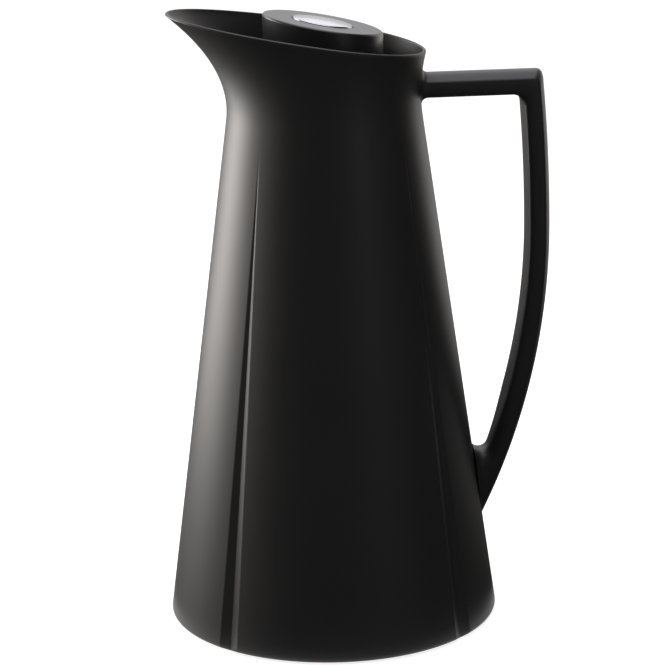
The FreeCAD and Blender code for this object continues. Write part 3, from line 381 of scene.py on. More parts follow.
def turned_group():
    """Rings of a turned surface about the Z axis: uneven gloss and a fine ridged height."""
    found = bpy.data.node_groups.get("turned_rings")
    if found:
        return found
    tree, inputs, output = group_tree(
        "turned_rings", "ShaderNodeTree",
        [("Vector", "NodeSocketVector"), ("Roughness", "NodeSocketFloat"), ("Rings", "NodeSocketFloat")],
        [("Roughness", "NodeSocketFloat"), ("Height", "NodeSocketFloat")],
    )
    x, y, z = separate(tree, inputs["Vector"])
    radius = (x * x + y * y).run("SQRT")
    noise = tree.nodes.new("ShaderNodeTexNoise")
    noise.noise_dimensions = "1D"
    tree.links.new((radius + z * RING_PITCH_SHARE).socket, noise.inputs["W"])
    tree.links.new(inputs["Rings"], noise.inputs["Scale"])
    ridge = Field(tree, noise.outputs[0])
    least, spread = RING_GLOSS
    rough = Field(tree, inputs["Roughness"]) * (ridge * spread + least)
    tree.links.new(rough.socket, output.inputs["Roughness"])
    tree.links.new(ridge.socket, output.inputs["Height"])
    return tree


def new_material(name):
    """Material with its Principled shader and object coordinates."""
    material = bpy.data.materials.new(name)
    material.use_nodes = True
    tree = material.node_tree
    shader = next(node for node in tree.nodes if node.type == "BSDF_PRINCIPLED")
    place = tree.nodes.new("ShaderNodeTexCoord").outputs["Object"]
    return material, tree, shader, place


def add_bump(tree, shader, height, depth):
    """Fine relief of a shader from a height."""
    bump = tree.nodes.new("ShaderNodeBump")
    bump.inputs["Strength"].default_value = BUMP_STRENGTH
    bump.inputs["Distance"].default_value = depth
    tree.links.new(height, bump.inputs["Height"])
    tree.links.new(bump.outputs[0], shader.inputs["Normal"])


def place_group(tree, shared, place, values):
    """Shared shader group at object coordinates, with its values set."""
    node = tree.nodes.new("ShaderNodeGroup")
    node.node_tree = shared
    tree.links.new(place, node.inputs["Vector"])
    for label, value in values:
        node.inputs[label].default_value = value
    return node


def grained_material(
    name, tone, rough, grain, cloud, spread, depth, specular=0.5, metallic=0.0, sheen=0.0,
):
    """Moulded, cast or felted finish from the shared grain."""
    material, tree, shader, place = new_material(name)
    group = place_group(tree, grain_group(), place, (
        ("Colour", (*tone, 1.0)), ("Roughness", rough),
        ("Grain", grain), ("Cloud", cloud), ("Spread", spread),
    ))
    tree.links.new(group.outputs["Colour"], shader.inputs["Base Color"])
    tree.links.new(group.outputs["Roughness"], shader.inputs["Roughness"])
    add_bump(tree, shader, group.outputs["Height"], depth)
    shader.inputs["Specular IOR Level"].default_value = specular
    shader.inputs["Metallic"].default_value = metallic
    shader.inputs["Sheen Weight"].default_value = sheen
    return material


def turned_material(name, tone, rough, rings, depth):
    """Turned or drawn metal from the shared rings, with a faint cast of the grain in its tone."""
    material, tree, shader, place = new_material(name)
    values = (("Colour", (*tone, 1.0)), ("Roughness", rough), *METAL_CAST)
    cast = place_group(tree, grain_group(), place, values)
    group = place_group(tree, turned_group(), place, (("Roughness", rough), ("Rings", rings)))
    tree.links.new(cast.outputs["Colour"], shader.inputs["Base Color"])
    tree.links.new(group.outputs["Roughness"], shader.inputs["Roughness"])
    add_bump(tree, shader, group.outputs["Height"], depth)
    shader.inputs["Metallic"].default_value = 1.0
    return material


def casing_plastic(finish):
    return grained_material(
        "casing_plastic", finish.casing, rough=finish.casing_rough,
        grain=2600.0, cloud=22.0, spread=0.10, depth=0.00002, specular=0.42,
    )


def lid_plastic(finish):
    return grained_material(
        "lid_plastic", finish.lid, rough=finish.lid_rough,
        grain=2600.0, cloud=40.0, spread=0.08, depth=0.00002,
    )


def inner_plastic(finish):
    return grained_material(
        "inner_plastic", finish.inner, rough=0.48,
        grain=2200.0, cloud=60.0, spread=0.12, depth=0.00003, specular=0.4,
    )


def white_plastic(finish):
    return grained_material(
        "white_plastic", finish.white, rough=0.42,
        grain=1800.0, cloud=90.0, spread=0.05, depth=0.00002,
    )


def seal_rubber(finish):
    return grained_material(
        "seal_rubber", finish.seal, rough=0.5,
        grain=1500.0, cloud=80.0, spread=0.10, depth=0.00003,
    )


def foot_rubber(finish):
    return grained_material(
        "foot_rubber", finish.rubber, rough=0.72,
        grain=900.0, cloud=45.0, spread=0.18, depth=0.00008, specular=0.3,
    )


def silvered_glass(finish):
    return grained_material(
        "silvered_glass", finish.glass, rough=0.06,
        grain=300.0, cloud=18.0, spread=0.03, depth=0.00001, metallic=1.0,
    )


def felt(finish):
    return grained_material(
        "felt", finish.felt, rough=0.9,
        grain=1600.0, cloud=200.0, spread=0.3, depth=0.0002, specular=0.1, sheen=0.3,
    )


def polished_cap(finish):
    return turned_material("polished_cap", finish.cap, rough=0.24, rings=1400.0, depth=0.0000004)


def drawn_steel(finish):
    return turned_material("drawn_steel", finish.steel, rough=0.3, rings=2400.0, depth=0.00001)


MATERIALS = {}


def finish_of(context, make):
    """The material that a maker gives, made once."""
    if make not in MATERIALS:
        MATERIALS[make] = make(context.scene.jug_finish)
    return MATERIALS[make]


# Casing

CASING_LABELS = tuple(JugCasingSizes.__annotations__)
SOFT_SHARE = 0.25
GROOVE_COLUMNS = 4
CASING_ROWS = {
    "foot": 10, "cone": 44, "flare": 30, "lip": 8, "inner flare": 20, "inner cone": 16,
    "flange": 3, "opening": 2, "roof": 3, "recess": 2, "ring": 2,
}


class CasingRule:
    """Fields that place a column and a height on the cone, its grooves and its flare."""

    def __init__(self, tree, sizes):
        self.tree = tree
        self.sizes = sizes
        position = tree.nodes.new("GeometryNodeInputPosition").outputs[0]
        along, across, _ = separate(tree, position)
        self.share = across + 0.5
        column = along + QUARTERS * HALF_COLUMNS
        quarter = (column / (2.0 * HALF_COLUMNS)).run("FLOOR")
        local = column - quarter * (2.0 * HALF_COLUMNS) - float(HALF_COLUMNS)
        self.step = local.run("ABSOLUTE")
        self.side = local.run("SIGN")
        self.centre = (quarter + 0.5) * (math.tau / QUARTERS)
        self.lean = (sizes["base_radius"] - sizes["neck_radius"]) / sizes["flare_height"]
        mouth_length = sizes["spout_reach"] + sizes["rear_reach"]
        self.fall = (sizes["spout_height"] - sizes["rear_height"]) / mouth_length
        self.groove_slope = sizes["groove_depth"] * 2.0 / sizes["groove_width"]

    def cone(self, height):
        """Radius of the casing's straight outside."""
        return self.sizes["base_radius"] - self.lean * height

    def inner_cone(self, height):
        """Radius of the casing's straight inside."""
        foot = self.sizes["base_radius"] - self.sizes["foot_wall"]
        neck = self.sizes["neck_radius"] - self.sizes["neck_wall"]
        return foot - (foot - neck) / self.sizes["flare_height"] * height

    def groove_depth(self, height):
        """Depth of the grooves, which run out at their top."""
        left = -(height / self.sizes["groove_top"]) + 1.0
        return self.sizes["groove_depth"] * left.run("MAXIMUM", 0.0)

    def groove_half_width(self, height):
        """Where a straight-sided V-groove leaves the cone, seen along the groove."""
        radius = self.cone(height)
        slope = self.groove_slope
        reach = (slope * slope + self.groove_depth(height) * 2.0 / radius).run("SQRT") - slope
        return (reach * radius).run("MAXIMUM", self.sizes["groove_end"])

    def local_angle(self, height):
        """Angle of a column from its groove's middle, with close columns at the groove's edges."""
        level = height.run("MINIMUM", self.sizes["flare_height"])
        radius = self.cone(level)
        half = self.groove_half_width(level)
        soft = (half * SOFT_SHARE).run("MINIMUM", self.sizes["groove_edge"])
        step = self.step
        lateral = soft * step.clamp() + (half - soft * 2.0) * (step - 1.0).clamp()
        lateral = lateral + soft * (step - 2.0).clamp()
        edge = (half / radius).run("ARCSINE")
        bend = soft / radius
        open_part = -(edge + bend) + math.pi / QUARTERS
        spread = (step - float(GROOVE_COLUMNS)) / float(HALF_COLUMNS - GROOVE_COLUMNS)
        groove_part = (lateral / radius).run("ARCSINE") + bend * (step - 3.0).clamp()
        return groove_part + open_part * spread.clamp()

    def angle(self, height):
        """Heading of a column round the axis."""
        return self.centre + self.local_angle(height) * self.side

    def rim(self):
        """Height of the rim at each column, and the flare's spread there."""
        angle = self.angle(self.sizes["flare_height"])
        along = angle.run("COSINE")
        across = angle.run("SINE") / self.sizes["mouth_half_width"]
        forward = (-along).run("MAXIMUM", 0.0) / self.sizes["spout_reach"]
        rearward = along.run("MAXIMUM", 0.0) / self.sizes["rear_reach"]
        reach = (forward * forward + rearward * rearward + across * across).run("POWER", -0.5)
        behind_tip = self.sizes["spout_reach"] + reach * along
        height = self.sizes["spout_height"] - self.fall * behind_tip
        spread = reach - self.cone(height)
        return height, spread

    def flare(self, height, rim_height, spread):
        """Radius that bends out from the cone to the rim."""
        low = self.sizes["flare_height"]
        share = (height - low) / (rim_height - low)
        return self.cone(height) + spread * share * share

    def place(self, radius, height):
        """Point of a column, with the groove's straight sides cut into it."""
        angle = self.local_angle(height)
        out = radius * angle.run("COSINE")
        across = radius * angle.run("SINE")
        depth = self.groove_depth(height)
        # Above a groove's end this moves the groove's side out of the way
        beyond = -depth.run("SIGN") + 1.0
        wall = self.cone(height) - depth + across * self.groove_slope + beyond
        out = out.run("MINIMUM", wall)
        across = across * self.side
        cosine, sine = self.centre.run("COSINE"), self.centre.run("SINE")
        x = out * cosine - across * sine
        y = out * sine + across * cosine
        return combine(self.tree, x, y, height)

    def skin(self, rows, radius, height):
        """Band of the casing: rows of points that run with the share from 0 to 1."""
        nodes, links = self.tree.nodes, self.tree.links
        grid = nodes.new("GeometryNodeMeshGrid")
        columns = 2 * QUARTERS * HALF_COLUMNS
        grid.inputs["Size X"].default_value = columns
        grid.inputs["Size Y"].default_value = 1.0
        grid.inputs["Vertices X"].default_value = columns + 1
        grid.inputs["Vertices Y"].default_value = rows + 1
        move = nodes.new("GeometryNodeSetPosition")
        links.new(grid.outputs["Mesh"], move.inputs["Geometry"])
        links.new(self.place(radius, height), move.inputs["Position"])
        return move.outputs[0]


def between(low, high, share):
    """Value or field at a share of the way from low to high."""
    return low + (high - low) * share


def casing_tree():
    """Closed skin of the casing, from the foot up the outside, over the lip and down the inside."""
    inputs = [(label, "NodeSocketFloat") for label in CASING_LABELS]
    inputs.append(("material", "NodeSocketMaterial"))
    tree, sockets, output = group_tree("casing_skin", "GeometryNodeTree", inputs, MESH_OUTPUT)
    sizes = {label: Field(tree, sockets[label]) for label in CASING_LABELS}
    rule = CasingRule(tree, sizes)
    share = rule.share
    level = share * 0.0

    tilt = rule.lean.run("ARCTANGENT")
    round_height = sizes["foot_gap"] + sizes["foot_round"]
    round_radius = rule.cone(round_height) - sizes["foot_round"] / tilt.run("COSINE")
    swing = between(level - math.pi / 2, tilt, share)
    foot_radius = round_radius + sizes["foot_round"] * swing.run("COSINE")
    foot_height = round_height + sizes["foot_round"] * swing.run("SINE")
    cone_start = round_height + sizes["foot_round"] * tilt.run("SINE")
    cone_height = between(cone_start, sizes["flare_height"], share)

    rim_height, spread = rule.rim()
    half_lip = sizes["lip_wall"] * 0.5
    lip_start = rim_height - half_lip
    flare_height = between(sizes["flare_height"], lip_start, share)
    flare_radius = rule.flare(flare_height, rim_height, spread)
    lip_middle = rule.flare(lip_start, rim_height, spread) - half_lip
    lip_radius = lip_middle + half_lip * (share * math.pi).run("COSINE")
    lip_height = lip_start + half_lip * (share * math.pi).run("SINE")
    down_height = between(lip_start, sizes["flare_height"], share)
    down_wall = between(sizes["lip_wall"], sizes["neck_wall"], share)
    down_radius = rule.flare(down_height, rim_height, spread) - down_wall
    inner_height = between(sizes["flare_height"], sizes["flange_top"], share)
    flange_top, roof = level + sizes["flange_top"], level + sizes["recess_height"]
    foot_gap = level + sizes["foot_gap"]
    opening, recess = level + sizes["opening_radius"], level + sizes["recess_radius"]

    bands = {
        "foot": (foot_radius, foot_height),
        "cone": (rule.cone(cone_height), cone_height),
        "flare": (flare_radius, flare_height),
        "lip": (lip_radius, lip_height),
        "inner flare": (down_radius, down_height),
        "inner cone": (rule.inner_cone(inner_height), inner_height),
        "flange": (between(rule.inner_cone(flange_top), opening, share), flange_top),
        "opening": (opening, between(flange_top, roof, share)),
        "roof": (between(opening, recess, share), roof),
        "recess": (recess, between(roof, foot_gap, share)),
        "ring": (between(recess, round_radius, share), foot_gap),
    }
    parts = [rule.skin(CASING_ROWS[name], *band) for name, band in bands.items()]
    finish_geometry(tree, parts, sockets["material"], output, weld=CASING_WELD)
    return tree


class JUG_OT_casing(bpy.types.Operator):
    """Make the casing's grooved skin, drawn spout and rounded lip"""

    bl_idname = "jug.casing"
    bl_label = "Casing"

    def execute(self, context):
        sizes = context.scene.jug_casing
        values = {label: getattr(sizes, label) for label in CASING_LABELS}
        values["material"] = finish_of(context, casing_plastic)
        piece = piece_from_tree(context, "casing", casing_tree(), values)
        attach(piece, "jug")
        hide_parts("outer_shell")
        return {"FINISHED"}


# Handle

ROOT_START_SHARE = 1.3
SADDLE_SHARE = 3
WEB_START_SHARE = 2
WEB_CROWDING = 1.6
WEB_FADE = 6
FLAT_STEPS = 2
NOTCH_HALVINGS = 40
CORNER_ROUNDS = 4


def cone_lean(casing):
    """Fall of the casing's radius for each metre of height."""
    return (casing.base_radius - casing.neck_radius) / casing.flare_height


def rear_radius(casing, height, y):
    """Distance along X of the casing's skin on the handle's side."""
    lean = cone_lean(casing)
    radius = casing.base_radius - lean * height
    if height > casing.flare_height:
        edge = casing.rear_height
        spread = casing.rear_reach - (casing.base_radius - lean * edge)
        radius += spread * ((height - casing.flare_height) / (edge - casing.flare_height)) ** 2
    return math.sqrt(radius ** 2 - y ** 2)


class HandleForm:
    """Side view of the handle: stations that pair an inner point with an outer line."""

    def __init__(self, sizes, casing):
        self.sizes = sizes
        self.casing = casing
        self.bar_bottom = sizes.bar_top - sizes.depth
        self.fillet_height = self.bar_bottom - sizes.corner_fillet
        self.fillet_x = self.inner(self.fillet_height) - sizes.corner_fillet

    def arc(self, reach, radius, inset, height):
        """Bend about the height of the grip's farthest point, set in by a depth."""
        drop = height - self.sizes.grip_height
        return reach - radius + math.sqrt((radius - inset) ** 2 - drop ** 2)

    def tilt(self, height):
        """Lean of the grip's lower inner face at a height."""
        return math.asin((self.sizes.grip_height - height) / self.sizes.inner_radius)

    def outer(self, height, inset=0.0):
        """Outer line of the grip, set in by a depth."""
        s = self.sizes
        radius = s.upper_radius if height >= s.grip_height else s.lower_radius
        return self.arc(s.grip_reach, radius, inset, height)

    def inner(self, height):
        """Inner face of the grip."""
        s = self.sizes
        if height >= s.grip_height:
            return self.arc(s.grip_reach, s.upper_radius, s.depth, height)
        return self.arc(s.grip_reach - s.depth, s.inner_radius, 0.0, height)

    def inner_edge(self, height):
        """Rounding of the inner edges, which grows into a saddle at the finger gap's lower end."""
        s = self.sizes
        share = 1 - (height - s.notch_height) / (SADDLE_SHARE * s.depth)
        share = min(max(share, 0.0), 1.0)
        return between(s.edge, s.saddle, share * share * (3 - 2 * share))

    def bar_station(self, x):
        """Upright section of the bar."""
        s = self.sizes
        return (x, self.bar_bottom), lambda inset: (x, s.bar_top - inset)

    def corner_station(self, swing):
        """Section that leans out of the inner fillet's centre."""
        s = self.sizes
        start = (
            self.fillet_x + s.corner_fillet * math.cos(swing),
            self.fillet_height + s.corner_fillet * math.sin(swing),
        )

        def edge(inset):
            top = s.bar_top - inset
            x = self.outer(top, inset)
            centre = Vector((x - s.corner_round, top - s.corner_round))
            way = Vector((math.cos(swing), math.sin(swing)))
            gap = centre - Vector((self.fillet_x, self.fillet_height))
            along = way.dot(gap)
            inside = along ** 2 - gap.length_squared + s.corner_round ** 2
            if inside > 0:
                reach = way * (along + math.sqrt(inside))
                if reach.x >= gap.x and reach.y >= gap.y:
                    return self.fillet_x + reach.x, self.fillet_height + reach.y
            if swing > math.atan2(gap.y, gap.x):
                return self.fillet_x + (top - self.fillet_height) / math.tan(swing), top
            for _ in range(CORNER_ROUNDS):
                height = self.fillet_height + math.tan(swing) * (x - self.fillet_x)
                x = self.outer(height, inset)
            return x, height

        return start, edge

    def grip_station(self, height):
        """Level section of the grip."""
        return (self.inner(height), height), lambda inset: (self.outer(height, inset), height)

    def notch(self):
        """Centre and radius of the round between casing and grip that ends at the notch's height."""
        low, high = self.sizes.notch_height, self.sizes.notch_height + self.sizes.depth
        for _ in range(NOTCH_HALVINGS):
            height = (low + high) / 2
            radius = self.room(height)[1]
            if height - radius > self.sizes.notch_height:
                high = height
            else:
                low = height
        x, radius = self.room(height)
        return x, height, radius

    def room(self, height):
        """Middle and radius of the round between casing and grip with its centre at a height."""
        lean = math.atan(cone_lean(self.casing))
        left, right = rear_radius(self.casing, height, 0.0), self.inner(height)
        radius = (right - left) / (1 / math.cos(lean) + 1 / math.cos(self.tilt(height)))
        return left + radius / math.cos(lean), radius

    def web_stations(self, start_height, count):
        """Sections that turn from the grip's foot into the casing's side, round the notch."""
        s = self.sizes
        x, height, radius = self.notch()
        lean = math.atan(cone_lean(self.casing))
        tilt = self.tilt(height)
        contact = height - radius * math.sin(tilt)
        straight = start_height - contact
        round_length = radius * (math.pi - tilt - lean)
        stations = []
        for index in range(1, count + 1):
            share = 1 - (1 - index / count) ** WEB_CROWDING
            way = share * (straight + round_length)
            if way < straight:
                level = start_height - way
                point = (self.inner(level), level)
            else:
                swing = -tilt - (way - straight) / radius
                point = (x + radius * math.cos(swing), height + radius * math.sin(swing))
            level = start_height + (s.foot_height - start_height) * share
            stations.append((point, lambda inset, level=level: (self.outer(level, inset), level)))
        return stations

    def stations(self):
        """All sections, from the bar's root round the corner and down the grip to its foot."""
        s = self.sizes
        bar, corner, grip = (HANDLE_STEPS[name] for name in ("bar", "corner", "grip"))
        bar_start = rear_radius(self.casing, s.bar_top, 0.0) + s.root_fillet * ROOT_START_SHARE
        web_start = s.notch_height + s.depth * WEB_START_SHARE
        found = [
            self.bar_station(between(bar_start, self.fillet_x, step / bar)) for step in range(bar)
        ]
        found += [self.corner_station(math.pi / 2 * (1 - step / corner)) for step in range(corner)]
        found += [
            self.grip_station(between(self.fillet_height, web_start, step / grip))
            for step in range(grip + 1)
        ]
        return found + self.web_stations(web_start, HANDLE_STEPS["web"])


def handle_section(sizes, edge):
    """Half section of the handle as (across, place, amount), from the inner to the outer middle.

    Inner points are set off from the inner face, outer points are set in from the outer line.
    """
    half = sizes.width / 2
    points = [
        (step * (half - edge) / FLAT_STEPS, "inner", 0.0) for step in range(FLAT_STEPS + 1)
    ]
    for step in range(1, EDGE_STEPS + 1):
        swing = math.pi / 2 * step / EDGE_STEPS
        points.append((half - edge * (1 - math.sin(swing)), "inner", edge * (1 - math.cos(swing))))
    points.append((half, "outer", sizes.crown + sizes.crown_edge))
    for step in range(CROWN_STEPS + 1):
        across = (half - sizes.crown_edge) * (1 - step / CROWN_STEPS)
        points.append((across, "outer", sizes.crown * (across / half) ** 2))
    return points


def station_ring(station, section):
    """Ring of points of one station, round from the inner middle over both sides."""
    start, edge = station
    tip = edge(0.0)
    length = math.hypot(tip[0] - start[0], tip[1] - start[1])
    way = ((tip[0] - start[0]) / length, (tip[1] - start[1]) / length)

    def point(across, place, amount, side):
        if place == "inner":
            return Vector((start[0] + way[0] * amount, across * side, start[1] + way[1] * amount))
        x, z = edge(amount)
        return Vector((x, across * side, z))

    ring = [point(*item, 1) for item in section]
    ring += [point(*item, -1) for item in reversed(section[1:-1])]
    return ring


def root_rings(ring, sizes, casing):
    """Rings of the fillet that leads the bar into the casing, from the casing outwards."""
    middle = sum(ring, Vector()) / len(ring)
    normals = []
    for index, point in enumerate(ring):
        run = ring[(index + 1) % len(ring)] - ring[index - 1]
        normal = Vector((0.0, run.z, -run.y)).normalized()
        normals.append(normal if normal.dot(point - middle) > 0 else -normal)
    rings = []
    steps = HANDLE_STEPS["root"]
    for step in range(steps + 1):
        swing = math.pi / 2 * (1 - step / steps)
        spread = sizes.root_fillet * (1 - math.cos(swing))
        stand = sizes.root_fillet * (1 - math.sin(swing)) - sizes.sink * (step == 0)
        row = []
        for point, normal in zip(ring, normals):
            moved = point + normal * spread
            moved.x = rear_radius(casing, moved.z, moved.y) + stand
            row.append(moved)
        rings.append(row)
    return rings


def ease_web(rings, sizes, casing, first):
    """Spread the grip's foot into the casing and keep its end just under the casing's skin."""
    half = sizes.width / 2
    for ring in rings[first:]:
        for point in ring:
            stand = max(point.x - rear_radius(casing, point.z, point.y), -sizes.sink)
            if stand < sizes.web_fillet:
                reach = min(sizes.web_fillet - stand, sizes.web_fillet)
                spread = sizes.web_fillet - math.sqrt(sizes.web_fillet ** 2 - reach ** 2)
                point.y += math.copysign(spread * abs(point.y / half) ** WEB_FADE, point.y)
                point.x = rear_radius(casing, point.z, point.y) + stand


def mesh_from_rings(name, rings, closed):
    """Skin over rings of points; a closed row of rings joins end to end, others get flat ends."""
    form = bmesh.new()
    rows = [[form.verts.new(point) for point in ring] for ring in rings]
    pairs = list(zip(rows, rows[1:])) + ([(rows[-1], rows[0])] if closed else [])
    for first, second in pairs:
        for index in range(len(first)):
            after = (index + 1) % len(first)
            form.faces.new((first[index], first[after], second[after], second[index]))
    if not closed:
        form.faces.new(rows[0][::-1])
        form.faces.new(rows[-1])
    bmesh.ops.remove_doubles(form, verts=form.verts, dist=RING_WELD)
    bmesh.ops.recalc_face_normals(form, faces=form.faces)
    for face in form.faces:
        face.smooth = True
    mesh = bpy.data.meshes.new(name)
    form.to_mesh(mesh)
    form.free()
    mesh.set_sharp_from_angle(angle=SHARP_ANGLE)
    return mesh


class JUG_OT_handle(bpy.types.Operator):
    """Make the bar and grip, with their fillets into the casing"""

    bl_idname = "jug.handle"
    bl_label = "Handle"

    def execute(self, context):
        sizes, casing = context.scene.jug_handle, context.scene.jug_casing
        form = HandleForm(sizes, casing)
        rings = []
        for station in form.stations():
            edge = form.inner_edge(station[0][1])
            rings.append(station_ring(station, handle_section(sizes, edge)))
        rings = root_rings(rings[0], sizes, casing) + rings
        ease_web(rings, sizes, casing, first=len(rings) // 2)
        mesh = mesh_from_rings("handle_loop", rings, closed=False)
        piece = new_piece(context, "handle_loop", mesh)
        piece.data.materials.append(finish_of(context, casing_plastic))
        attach(piece, "jug")
        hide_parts("handle")
        return {"FINISHED"}


# Stopper

LID_STEPS = {"shoulder": 10, "side": 4, "top": 6, "bore": 4}
CAP_EDGE_END = 70
CAP_EDGE_STEPS = 6
CAP_STEPS = 16
CAP_CENTRE_SHARE = 1 / 192
SPRING_TURNS = 6.0
SPRING_STEPS = 32
WIRE_SIDES = 10


def turned_piece(context, name, profile, fall, make):
    """Closed turning about Z; a profile point follows the lid's slant by its third value."""
    rings = []
    for index in range(TURN_STEPS):
        angle = math.tau * index / TURN_STEPS
        cosine, sine = math.cos(angle), math.sin(angle)
        rings.append([
            Vector((radius * cosine, radius * sine, height - fall * radius * cosine * follow))
            for radius, height, follow in profile
        ])
    piece = new_piece(context, name, mesh_from_rings(name, rings, closed=True))
    piece.data.materials.append(finish_of(context, make))
    return piece


def rounded(radius, height, round_size, start, end, steps):
    """Arc of a profile that follows the slant, about a centre and by angles from outwards."""
    swings = [math.radians(between(start, end, step / steps)) for step in range(steps + 1)]
    return [
        (radius + round_size * math.cos(swing), height + round_size * math.sin(swing), 1.0)
        for swing in swings
    ]


def spaced(start, end, steps):
    """Profile points between two others, without the ends."""
    return [
        tuple(between(first, last, step / steps) for first, last in zip(start, end))
        for step in range(1, steps)
    ]


def lid_fall(sizes):
    """Fall of the lid's top for each metre towards the handle."""
    return sizes.lid_slant / (2 * sizes.head_radius)


class JUG_OT_lid(bpy.types.Operator):
    """Make the stopper's slanted lid with its rounded edge and the button's bore"""

    bl_idname = "jug.lid"
    bl_label = "Lid"

    def execute(self, context):
        s = context.scene.jug_stopper
        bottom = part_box("stopper_cover")[0].z
        top = s.lid_height
        side = s.head_radius
        guide_bottom = top - s.guide_length
        guide_outer = s.guide_bore + s.guide_wall
        inside = side - s.lid_wall
        steps = LID_STEPS
        shoulder = rounded(
            side - s.lid_round, top - s.lid_round, s.lid_round, 0, 90, steps["shoulder"],
        )
        bore_edge = rounded(
            s.guide_bore + s.bore_edge, top - s.bore_edge, s.bore_edge, 90, 180, steps["bore"],
        )
        low_edge = s.bore_edge
        profile = [(side - low_edge, bottom, 0.0), (side, bottom + low_edge, 0.0)]
        profile += spaced(profile[-1], shoulder[0], steps["side"]) + shoulder
        profile += spaced(shoulder[-1], bore_edge[0], steps["top"]) + bore_edge
        profile += [
            (s.guide_bore, guide_bottom, 0.0),
            (guide_outer, guide_bottom, 0.0),
            (guide_outer, top - s.lid_wall, 1.0),
            (inside, top - s.lid_wall, 1.0),
            (inside, bottom, 0.0),
        ]
        piece = turned_piece(context, "lid", profile, lid_fall(s), lid_plastic)
        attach(piece, "stopper")
        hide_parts("stopper_cover")
        return {"FINISHED"}


class JUG_OT_button(bpy.types.Operator):
    """Make the crowned metal cap of the push button"""

    bl_idname = "jug.button"
    bl_label = "Button"

    def execute(self, context):
        s = context.scene.jug_stopper
        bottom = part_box("button_cap")[0].z
        edge_top = s.lid_height + s.button_proud
        inner = s.button_radius - s.button_wall
        roof = s.lid_height - lid_fall(s) * s.button_radius - s.button_wall
        edge = rounded(
            s.button_radius - s.button_round, edge_top - s.button_round, s.button_round,
            0, CAP_EDGE_END, CAP_EDGE_STEPS,
        )
        profile = [(s.button_radius, bottom, 0.0)] + edge
        crown_start, crown_height, _ = edge[-1]
        centre = crown_start * CAP_CENTRE_SHARE
        for step in range(1, CAP_STEPS + 1):
            radius = max(crown_start * (1 - step / CAP_STEPS), centre)
            rise = s.button_crown * (1 - (radius / crown_start) ** 2)
            profile.append((radius, crown_height + rise, 1.0))
        profile += [(profile[-1][0], roof, 0.0), (inner, roof, 0.0), (inner, bottom, 0.0)]
        piece = turned_piece(context, "button_top", profile, lid_fall(s), polished_cap)
        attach(piece, "button")
        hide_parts("button_cap")
        return {"FINISHED"}


def spring_tree():
    """Round wire wound about Z from a bottom height."""
    labels = ("radius", "wire", "bottom", "height", "turns")
    inputs = [(label, "NodeSocketFloat") for label in labels]
    inputs.append(("material", "NodeSocketMaterial"))
    tree, sockets, output = group_tree("wound_spring", "GeometryNodeTree", inputs, MESH_OUTPUT)
    nodes, links = tree.nodes, tree.links
    spiral = nodes.new("GeometryNodeCurveSpiral")
    spiral.inputs["Resolution"].default_value = SPRING_STEPS
    for label, name in (
        ("Rotations", "turns"), ("Start Radius", "radius"),
        ("End Radius", "radius"), ("Height", "height"),
    ):
        links.new(sockets[name], spiral.inputs[label])
    ring = nodes.new("GeometryNodeCurvePrimitiveCircle")
    ring.inputs["Resolution"].default_value = WIRE_SIDES
    links.new(sockets["wire"], ring.inputs["Radius"])
    tube = nodes.new("GeometryNodeCurveToMesh")
    links.new(spiral.outputs["Curve"], tube.inputs["Curve"])
    links.new(ring.outputs["Curve"], tube.inputs["Profile Curve"])
    tube.inputs["Fill Caps"].default_value = True
    lift = nodes.new("GeometryNodeTransform")
    zero = Field(tree, sockets["bottom"]) * 0.0
    links.new(combine(tree, zero, zero, Field(tree, sockets["bottom"])), lift.inputs["Translation"])
    links.new(tube.outputs["Mesh"], lift.inputs["Geometry"])
    finish_geometry(tree, [lift.outputs[0]], sockets["material"], output, weld=WIRE_WELD)
    return tree


class JUG_OT_spring(bpy.types.Operator):
    """Wind the return spring"""

    bl_idname = "jug.spring"
    bl_label = "Return spring"

    def execute(self, context):
        s = context.scene.jug_stopper
        low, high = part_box("return_spring")
        length = high.z - low.z
        joint = next(item for item in frame["joints"] if item["name"] == "button_press")
        values = {
            "radius": s.spring_radius, "wire": s.wire_radius, "bottom": low.z + s.wire_radius,
            "height": length - 2 * s.wire_radius, "turns": SPRING_TURNS,
            "material": finish_of(context, drawn_steel),
        }
        piece = piece_from_tree(context, "wound_spring", spring_tree(), values)
        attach(piece, "stopper")
        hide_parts("return_spring")
        keep = 1 - max(joint["range_m"]) / length
        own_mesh(piece)
        return {"FINISHED"}


# Foot pad

PAD_RINGS = 6
PAD_RING_DEPTH = 0.0005
PAD_RING_WIDTH = 0.0016
PAD_RING_FORM = ((0.5, 0.0), (0.2, 1.0), (-0.2, 1.0), (-0.5, 0.0))
PAD_FIRST_RING = 0.7
PAD_CENTRE_SHARE = 1 / 400


class JUG_OT_foot_pad(bpy.types.Operator):
    """Make the non-slip pad with shallow rings in its underside"""

    bl_idname = "jug.foot_pad"
    bl_label = "Foot pad"

    def execute(self, context):
        low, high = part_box("foot_pad")
        radius = high.x
        soft = PAD_RING_DEPTH
        centre = radius * PAD_CENTRE_SHARE
        profile = [
            (centre, high.z, 0.0), (radius, high.z, 0.0),
            (radius, low.z + soft, 0.0), (radius - soft, low.z, 0.0),
        ]
        for ring in range(PAD_RINGS):
            middle = radius * (1 - (ring + PAD_FIRST_RING) / (PAD_RINGS + 1))
            for offset, rise in PAD_RING_FORM:
                across, up = offset * PAD_RING_WIDTH, rise * PAD_RING_DEPTH
                profile.append((middle + across, low.z + up, 0.0))
        profile.append((centre, low.z, 0.0))
        piece = turned_piece(context, "ringed_pad", profile, 0.0, foot_rubber)
        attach(piece, "jug")
        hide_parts("foot_pad")
        return {"FINISHED"}


# Pieces that keep their packed shape

